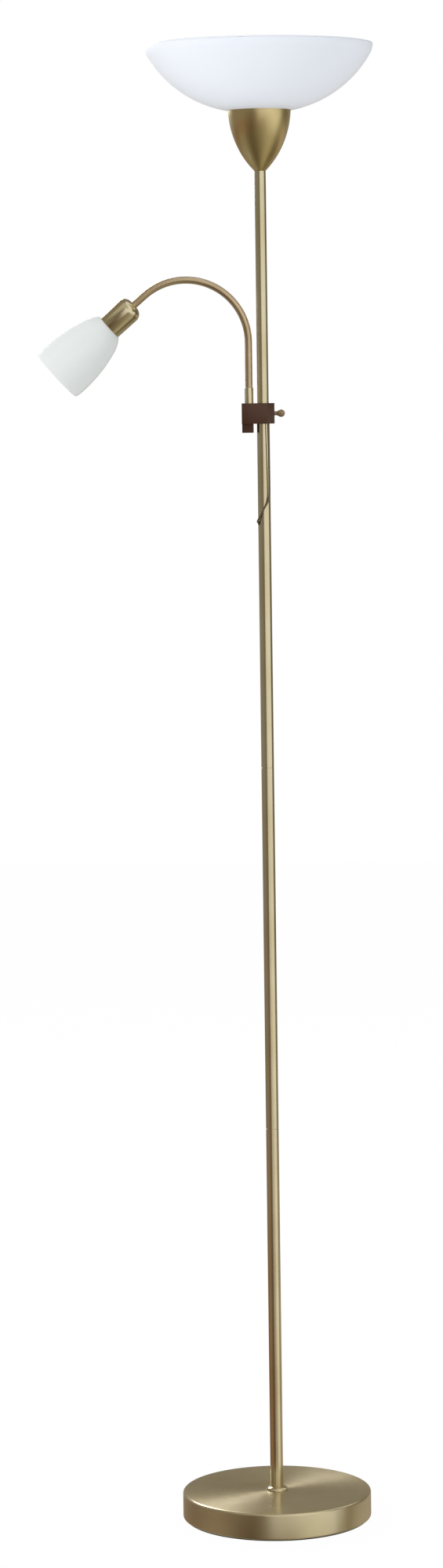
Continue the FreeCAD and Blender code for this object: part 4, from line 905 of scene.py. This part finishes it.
bpy.ops.mesh.primitive_cylinder_add(
    vertices=64, radius=BORE_RADIUS, depth=BORE_DEPTH, location=(0, 0, middle_of_block[2])
)
bore = bpy.context.object
bpy.ops.mesh.primitive_cylinder_add(
    vertices=48, radius=ARM_SOCKET_RADIUS, depth=2 * ARM_SOCKET_DEPTH, location=(ARM_X, 0, block_high.z)
)
socket = bpy.context.object
select_only(block)
for cutter in (bore, socket):
    apply_modifier(block, "hole", "BOOLEAN", operation="DIFFERENCE", solver="EXACT", object=cutter)
    bpy.data.objects.remove(cutter)
edges = dict(segments=3, limit_method="ANGLE", angle_limit=math.radians(30))
apply_modifier(block, "soften", "BEVEL", width=0.0006, **edges)
bpy.ops.object.shade_smooth_by_angle(angle=math.radians(35))

enamel = mottled(
    "brown_enamel",
    scale=1100,
    tones=[(0.053, 0.017, 0.006), (0.076, 0.027, 0.011)],
    roughness=(0.32, 0.46),
    stops=(0.3, 0.7),
    detail=3,
    relief=0.18,
    depth=0.0002,
    finish={"Metallic": 0.35, "Coat Weight": 0.25, "Coat Roughness": 0.3},
)
finish_piece(block, enamel, "arm_clamp", "clamp_finish", "clamp_body")
dress_nodes(black_plastic, "clamp_sleeve")


# Thumbscrew: a turned shank with a flat teardrop grip, cast in one and finished in darkened brass.

screw_low, screw_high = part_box("thumbscrew")
SCREW_HEIGHT = (screw_low.z + screw_high.z) / 2
GRIP_HALF = (screw_high.z - screw_low.z) / 2
GRIP_CENTRE = screw_high.x - GRIP_HALF
GRIP_ROOT = block_high.x + 0.0018
GRIP_NECK = 0.0024
GRIP_THICK = 0.0034
SHANK_RADIUS = 0.0025
SHANK_CHAMFER = 0.0003
SHANK_OVERLAP = 0.001
QUARTER_TURN = math.radians(90)

bpy.ops.mesh.primitive_circle_add(
    vertices=32,
    radius=GRIP_HALF,
    fill_type="NGON",
    location=(GRIP_CENTRE, 0, SCREW_HEIGHT),
    rotation=(QUARTER_TURN, 0, 0),
)
grip = bpy.context.object
grip.name = "thumbscrew_piece"
bpy.ops.object.mode_set(mode="EDIT")
bpy.ops.mesh.primitive_plane_add(
    size=GRIP_NECK, location=(GRIP_ROOT, 0, SCREW_HEIGHT), rotation=(QUARTER_TURN, 0, 0)
)
bpy.ops.mesh.select_all(action="SELECT")
bpy.ops.mesh.convex_hull()
bpy.ops.mesh.select_all(action="SELECT")
bpy.ops.mesh.dissolve_limited(angle_limit=math.radians(1))
bpy.ops.mesh.select_all(action="SELECT")
bpy.ops.mesh.delete(type="ONLY_FACE")
bpy.ops.mesh.select_all(action="SELECT")
bpy.ops.mesh.edge_face_add()
bpy.ops.mesh.extrude_region_move(TRANSFORM_OT_translate={"value": (0, GRIP_THICK, 0)})
bpy.ops.mesh.select_all(action="SELECT")
bpy.ops.transform.translate(value=(0, -GRIP_THICK / 2, 0))
bpy.ops.mesh.normals_make_consistent(inside=False)
bpy.ops.object.mode_set(mode="OBJECT")
bpy.ops.object.transform_apply(location=True, rotation=True, scale=True)
edges = dict(segments=4, limit_method="ANGLE", angle_limit=math.radians(50))
apply_modifier(grip, "soften", "BEVEL", width=0.0012, **edges)
bpy.ops.mesh.primitive_cylinder_add(
    vertices=48,
    radius=SHANK_RADIUS,
    depth=GRIP_ROOT - screw_low.x + SHANK_OVERLAP,
    location=((GRIP_ROOT + screw_low.x) / 2 + SHANK_OVERLAP / 2, 0, SCREW_HEIGHT),
    rotation=(0, QUARTER_TURN, 0),
)
bpy.ops.object.mode_set(mode="EDIT")
bpy.ops.mesh.select_all(action="SELECT")
bpy.ops.mesh.bevel(offset=SHANK_CHAMFER, segments=2)
bpy.ops.object.mode_set(mode="OBJECT")
bpy.ops.object.transform_apply(location=True, rotation=True, scale=True)
grip.select_set(True)
bpy.context.view_layer.objects.active = grip
bpy.ops.object.join()
bpy.ops.object.shade_smooth_by_angle(angle=math.radians(40))
dark_brass = brass("dark_brass", SPUN_GRAIN, (0.30, 0.42), DARK_BRASS, relief=0.06)
finish_piece(grip, dark_brass, "thumbscrew", "clamp_finish", "thumbscrew")
dress_nodes(dark_brass, "screw_pad")


# Arm: a flexible metal hose, wound from a round and a wedge-shaped wire and finished as brass. It stands in
# a ferrule on the clamp, bends where it is put, and carries the reading light's lead inside.

HOSE_RADIUS = 0.0045
HOSE_GROOVE = 0.0001
HOSE_SIDES = 28
HOSE_IN_FERRULE = 0.0117
ferrule_low, ferrule_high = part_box("arm_ferrule")
ARM_FOOT = ferrule_high.z
BEND_START = 1.4385
BEND_RADIUS = 0.077
BEND_TURN = math.radians(131)
ARM_STRAIGHT = BEND_START - ARM_FOOT
ARM_TAIL = 0.0165
ARM_LENGTH = ARM_STRAIGHT + BEND_RADIUS * BEND_TURN + ARM_TAIL
END_LINK = 0.013
JOINTS = 8
TURNS_PER_STEP = 25
JOINT_STEP = (ARM_LENGTH - 2 * END_LINK) / (JOINTS - 1)
HOSE_PITCH = JOINT_STEP / TURNS_PER_STEP
GUIDE_BELOW = 0.02
GUIDE_BEYOND = 0.01
GUIDE_QUARTERS = 4
GUIDE_END_HANDLE = 0.004


def arm_place(along):
    """the point and direction of the arm's middle line, so far along from the ferrule's top"""
    if along <= ARM_STRAIGHT:
        return Vector((ARM_X, 0, ARM_FOOT + along)), Vector((0, 0, 1))
    angle = min((along - ARM_STRAIGHT) / BEND_RADIUS, BEND_TURN)
    centre = Vector((ARM_X - BEND_RADIUS, 0, BEND_START))
    place = centre + BEND_RADIUS * Vector((math.cos(angle), 0, math.sin(angle)))
    heading = Vector((-math.sin(angle), 0, math.cos(angle)))
    beyond = along - ARM_STRAIGHT - BEND_RADIUS * BEND_TURN
    return (place + heading * beyond, heading) if beyond > 0 else (place, heading)


def arm_guide():
    """the arm's middle line as a curve that a straight hose is bent along, from below the ferrule's top"""
    line = bpy.data.curves.new("arm_guide", "CURVE")
    line.dimensions = "3D"
    line.resolution_u = 64
    spline = line.splines.new("BEZIER")
    stations = [-GUIDE_BELOW]
    for quarter in range(GUIDE_QUARTERS + 1):
        stations.append(ARM_STRAIGHT + BEND_RADIUS * BEND_TURN * quarter / GUIDE_QUARTERS)
    stations.append(ARM_LENGTH + GUIDE_BEYOND)
    spline.bezier_points.add(len(stations) - 1)
    reach = BEND_RADIUS * 4 / 3 * math.tan(BEND_TURN / GUIDE_QUARTERS / 4)
    for number, (point, station) in enumerate(zip(spline.bezier_points, stations)):
        place, heading = arm_place(station)
        before = reach if 1 < number < len(stations) - 1 else GUIDE_END_HANDLE
        after = reach if 0 < number < len(stations) - 2 else GUIDE_END_HANDLE
        point.co = place
        point.handle_left = place - heading * before
        point.handle_right = place + heading * after
    guide = bpy.data.objects.new("arm_guide", line)
    bpy.context.collection.objects.link(guide)
    return guide


def wound_hose(name, start, finish, guide):
    """a length of hose with the lead inside: one turn's outline is screwed up into a straight hose, and
    the hose is bent along the guide"""
    length = finish - start
    turns = max(1, round(length / HOSE_PITCH))
    pitch = length / turns
    origin = start + GUIDE_BELOW
    bpy.ops.mesh.primitive_plane_add(size=1)
    hose = bpy.context.object
    hose.name = name
    bpy.ops.object.mode_set(mode="EDIT")
    bpy.ops.mesh.select_all(action="SELECT")
    bpy.ops.mesh.merge(type="CENTER")
    bpy.ops.transform.translate(value=(HOSE_RADIUS - HOSE_GROOVE, 0, origin))
    outline = [(0.5, 0.10), (0.87, 0.25), (1.0, 0.50), (0.87, 0.75), (0.5, 0.90), (0.0, 1.0)]
    height, depth = 0.0, 0.0
    for next_depth, next_height in outline:
        step = ((next_depth - depth) * HOSE_GROOVE, 0, (next_height - height) * pitch)
        bpy.ops.mesh.extrude_vertices_move(TRANSFORM_OT_translate={"value": step})
        height, depth = next_height, next_depth
    bpy.ops.object.mode_set(mode="OBJECT")
    winding = dict(axis="Z", steps=HOSE_SIDES, render_steps=HOSE_SIDES, screw_offset=pitch, iterations=turns)
    apply_modifier(hose, "winding", "SCREW", use_merge_vertices=True, use_smooth_shade=True, **winding)
    bpy.ops.mesh.primitive_cylinder_add(
        vertices=16,
        radius=LEAD_DIAMETER / 2,
        depth=length,
        end_fill_type="NOTHING",
        location=(0, 0, origin + length / 2),
    )
    inner = bpy.context.object
    bpy.ops.object.mode_set(mode="EDIT")
    for share in (0.5, 0.2, 0.35, 0.65, 0.8):
        slice_across((0, 0, origin + length * share), (0, 0, 1))
    bpy.ops.object.mode_set(mode="OBJECT")
    bpy.ops.object.transform_apply(location=True, rotation=True, scale=True)
    for piece in (inner, hose):
        piece.data.materials.append(arm_brass)
        piece.data.materials.append(lead_plastic)
    for polygon in inner.data.polygons:
        polygon.material_index = 1
    hose.select_set(True)
    bpy.context.view_layer.objects.active = hose
    bpy.ops.object.join()
    apply_modifier(hose, "bend", "CURVE", object=guide, deform_axis="POS_Z")
    bpy.ops.object.mode_set(mode="EDIT")
    bpy.ops.mesh.select_all(action="SELECT")
    bpy.ops.mesh.remove_doubles(threshold=5e-6)
    bpy.ops.mesh.normals_make_consistent(inside=False)
    bpy.ops.object.mode_set(mode="OBJECT")
    bpy.ops.object.shade_smooth()
    bpy.ops.object.select_all(action="DESELECT")
    return hose


arm_brass = brass("arm_brass", SPUN_GRAIN, (0.26, 0.36), WARM_BRASS, relief=0.03)
guide = arm_guide()
bends = [END_LINK + JOINT_STEP * number for number in range(JOINTS)]
middles = [END_LINK / 2]
middles += [(a + b) / 2 for a, b in zip(bends, bends[1:])]
middles += [ARM_LENGTH - END_LINK / 2]
hose = wound_hose("arm_hose_1", -HOSE_IN_FERRULE, middles[0], guide)
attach(hose, "arm_clamp")
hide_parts("arm_link_1", "arm_lead")
for number in range(JOINTS):
    start, finish = middles[number], middles[number + 1]
    hose = wound_hose(f"arm_hose_{number + 2}", start, finish, guide)
    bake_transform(hose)
    if number < JOINTS - 1:
        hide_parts(f"arm_link_{number + 2}")
hose = wound_hose(f"arm_hose_{JOINTS + 2}", middles[-1], ARM_LENGTH, guide)
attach(hose, "reading_head")
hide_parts(f"arm_link_{JOINTS + 1}")
bpy.data.objects.remove(guide)

FERRULE_RADIUS = (ferrule_high.x - ferrule_low.x) / 2
FERRULE_HOLE = 0.0025
FERRULE_BORE = HOSE_RADIUS + PLAY
FERRULE_SHOULDER = (FERRULE_RADIUS - 0.0006, ferrule_high.z)
FERRULE_SHOULDER_ARC = 0.0013
ferrule_rings = [
    (FERRULE_HOLE, ferrule_low.z),
    (FERRULE_RADIUS, ferrule_low.z),
    (FERRULE_RADIUS, ferrule_high.z - 0.0010),
]
ferrule_rings += bowed(ferrule_rings[-1], FERRULE_SHOULDER, FERRULE_SHOULDER_ARC, 5)
ferrule_rings += [
    (FERRULE_BORE, ferrule_high.z),
    (FERRULE_BORE, ferrule_high.z - HOSE_IN_FERRULE),
    (FERRULE_HOLE, ferrule_high.z - HOSE_IN_FERRULE),
]
ferrule = turned("ferrule_piece", ferrule_rings, around=96)
for vertex in ferrule.data.vertices:
    vertex.co.x += ARM_X
finish_piece(ferrule, turned_brass, "arm_clamp", "finish", "arm_ferrule")


# Reading head: a spun brass cup screwed to the end of the arm, with the small lampholder and bulb inside and
# a bell of opal glass held in its mouth. The pieces are turned upright and then laid along the head.

HEAD_HOLE = 0.00405
HEAD_RADIUS = 0.0164
HEAD_LENGTH = 0.041
HEAD_ROUND = 0.011
HEAD_SHEET = 0.0008
head_back = arm_place(ARM_LENGTH)[0]


def lay_on_head(piece):
    """turns a piece that was made upright from the origin so that it lies along the head"""
    select_only(piece)
    piece.location = head_back
    piece.rotation_euler = (0, -BEND_TURN, 0)
    bpy.ops.object.transform_apply(location=True, rotation=True, scale=True)
    return piece


head_rings = [(HEAD_HOLE, 0), (HEAD_RADIUS - HEAD_ROUND, 0)]
head_rings += bowed(head_rings[-1], (HEAD_RADIUS, HEAD_ROUND), HEAD_ROUND, 14)
head_rings += [
    (HEAD_RADIUS, HEAD_LENGTH - 0.0004),
    (HEAD_RADIUS - 0.0002, HEAD_LENGTH),
    (HEAD_RADIUS - HEAD_SHEET, HEAD_LENGTH),
    (HEAD_RADIUS - HEAD_SHEET, HEAD_ROUND),
]
inner_back = (HEAD_RADIUS - HEAD_ROUND, HEAD_SHEET)
inner_side = (HEAD_RADIUS - HEAD_SHEET, HEAD_ROUND)
head_rings += bowed(inner_back, inner_side, HEAD_ROUND - HEAD_SHEET, 8)[-2::-1]
head_rings += [inner_back, (HEAD_HOLE, HEAD_SHEET)]
head_brass = brass("head_brass", SPUN_GRAIN, (0.16, 0.24), relief=0.03, laid=(head_back, -BEND_TURN))
head = lay_on_head(turned("head_cup_piece", head_rings, around=128))
finish_piece(head, head_brass, "reading_head", "finish", "head_cup")

SMALL_SKIRT = 0.0139
SHADE_NECK = 0.0176
SHADE_FOOT = HEAD_LENGTH + PLAY
SHADE_WALL = 0.0028
shade_stretches = [
    ((0.0274, SHADE_FOOT + 0.016), 0.042, 10),
    ((0.0376, SHADE_FOOT + 0.076), 0.190, 20),
    ((0.0362, SHADE_FOOT + 0.0875), 0.044, 8),
]
shade_rings = glass_rings(SMALL_SKIRT + 0.0004, (SHADE_NECK, SHADE_FOOT), shade_stretches, SHADE_WALL)
# The bell's opal glass gets a greyer, darker colour than the bowl's. That is painted shade, which makes the
# bell render dimmer than the bowl under the same light.
bell_glass_painted_dimmer = frosted("bell_glass_painted_dimmer", (0.78, 0.80, 0.77), glow=0.2)
shade = lay_on_head(turned("reading_shade_piece", shade_rings, around=160))
finish_piece(shade, bell_glass_painted_dimmer, "reading_head", "small_glass", "reading_shade")

SMALL_FOOT = 0.006
SMALL_BACK = 0.009
SMALL_CONE = 0.0045
SMALL_FLOOR = 0.006
SMALL_BORE = SMALL_SKIRT - 0.0022
SMALL_TOP = SHADE_FOOT + SHADE_WALL + 0.00695
SMALL_THREAD = [(0.0004, 0.0055), (0, 0.0042), (0.0004, 0.0030), (0, 0.0018)]
small_rings = [
    (HEAD_HOLE, SMALL_FOOT),
    (SMALL_BACK, SMALL_FOOT),
    (SMALL_SKIRT, SMALL_FOOT + SMALL_CONE),
    (SMALL_SKIRT, SHADE_FOOT + SHADE_WALL),
]
small_rings += [(SMALL_SKIRT - depth, SMALL_TOP - below) for depth, below in SMALL_THREAD]
small_rings += [
    (SMALL_SKIRT - 0.0005, SMALL_TOP),
    (SMALL_BORE + BORE_LIP, SMALL_TOP),
    (SMALL_BORE, SMALL_TOP - 0.0004),
    (SMALL_BORE, SMALL_FOOT + SMALL_FLOOR),
    (HEAD_HOLE, SMALL_FOOT + SMALL_FLOOR),
]
small_holder = lay_on_head(turned("reading_holder_piece", small_rings, around=80))
finish_piece(small_holder, white_plastic, "reading_head", "holder_plastic", "reading_holder")

RING_FOOT = SHADE_FOOT + SHADE_WALL + PLAY
RING_HOLE = SMALL_SKIRT + PLAY
RING_TOP = RING_FOOT + 0.00468
ring_rings = [
    (RING_HOLE, RING_FOOT),
    (RING_HOLE + 0.0010, RING_FOOT),
    (RING_HOLE + 0.0028, RING_TOP - RING_EDGE),
    (RING_HOLE + 0.0026, RING_TOP),
    (RING_HOLE, RING_TOP),
]
small_ring = lay_on_head(turned("reading_ring_piece", ring_rings, around=80))
finish_piece(small_ring, white_plastic, "reading_head", "holder_plastic", "reading_ring")

SMALL_TIP = SMALL_FOOT + 0.01375
small_bulb = bulb("reading_bulb_piece", SMALL_TIP, ball=0.0225, length=0.078, cap=0.0069, cap_length=0.020)
finish_piece(lay_on_head(small_bulb), bulb_glass, "reading_head", "bulb_glass", "reading_bulb_glass")
small_cap_brass = brass(
    "small_cap_brass", SPUN_GRAIN, (0.18, 0.26), relief=0.02, laid=(head_back, -BEND_TURN)
)
dress_nodes(small_cap_brass, "reading_bulb_cap", "reading_shell", "reading_contact")


# Inside: the cast weight, threaded tubes, couplers, bushes and nuts in the pole and head, the lampholders'
# inserts and the lead in the pole. They keep the construction model's shapes.


def worked_metal(name, dark, light, metallic, roughness, scale):
    """cast or machined metal: a mottled colour and an uneven dullness"""
    return mottled(name, scale, [dark, light], roughness, detail=4, finish={"Metallic": metallic})


cast_iron = worked_metal("cast_iron", (0.03, 0.03, 0.03), (0.07, 0.07, 0.07), 0.3, (0.6, 0.8), 300)
dress_nodes(cast_iron, "base_weight")
plated_steel = worked_metal("plated_steel", (0.42, 0.42, 0.40), (0.58, 0.57, 0.54), 1, (0.25, 0.4), 400)
dress_nodes(plated_steel, "base_washer", "base_nut", "base_nipple")
dress_nodes(plated_steel, "pole_coupler_1", "pole_coupler_2", "pole_foot_bush", "upper_bush")
dress_nodes(plated_steel, "cup_nipple", "cup_nut", "cup_spacer", "head_nipple", "head_nut")
dress_nodes(tube_brass, "pole_step")
ceramic = moulded("ceramic", (0.74, 0.72, 0.66), (0.3, 0.45), scale=700, relief=0.05)
dress_nodes(ceramic, "uplight_insert", "reading_insert")
dress_nodes(bulb_cap_brass, "uplight_bulb_cap", "uplight_shell", "uplight_contact")
dress_nodes(black_plastic, "pole_lead")

bpy.context.view_layer.update()
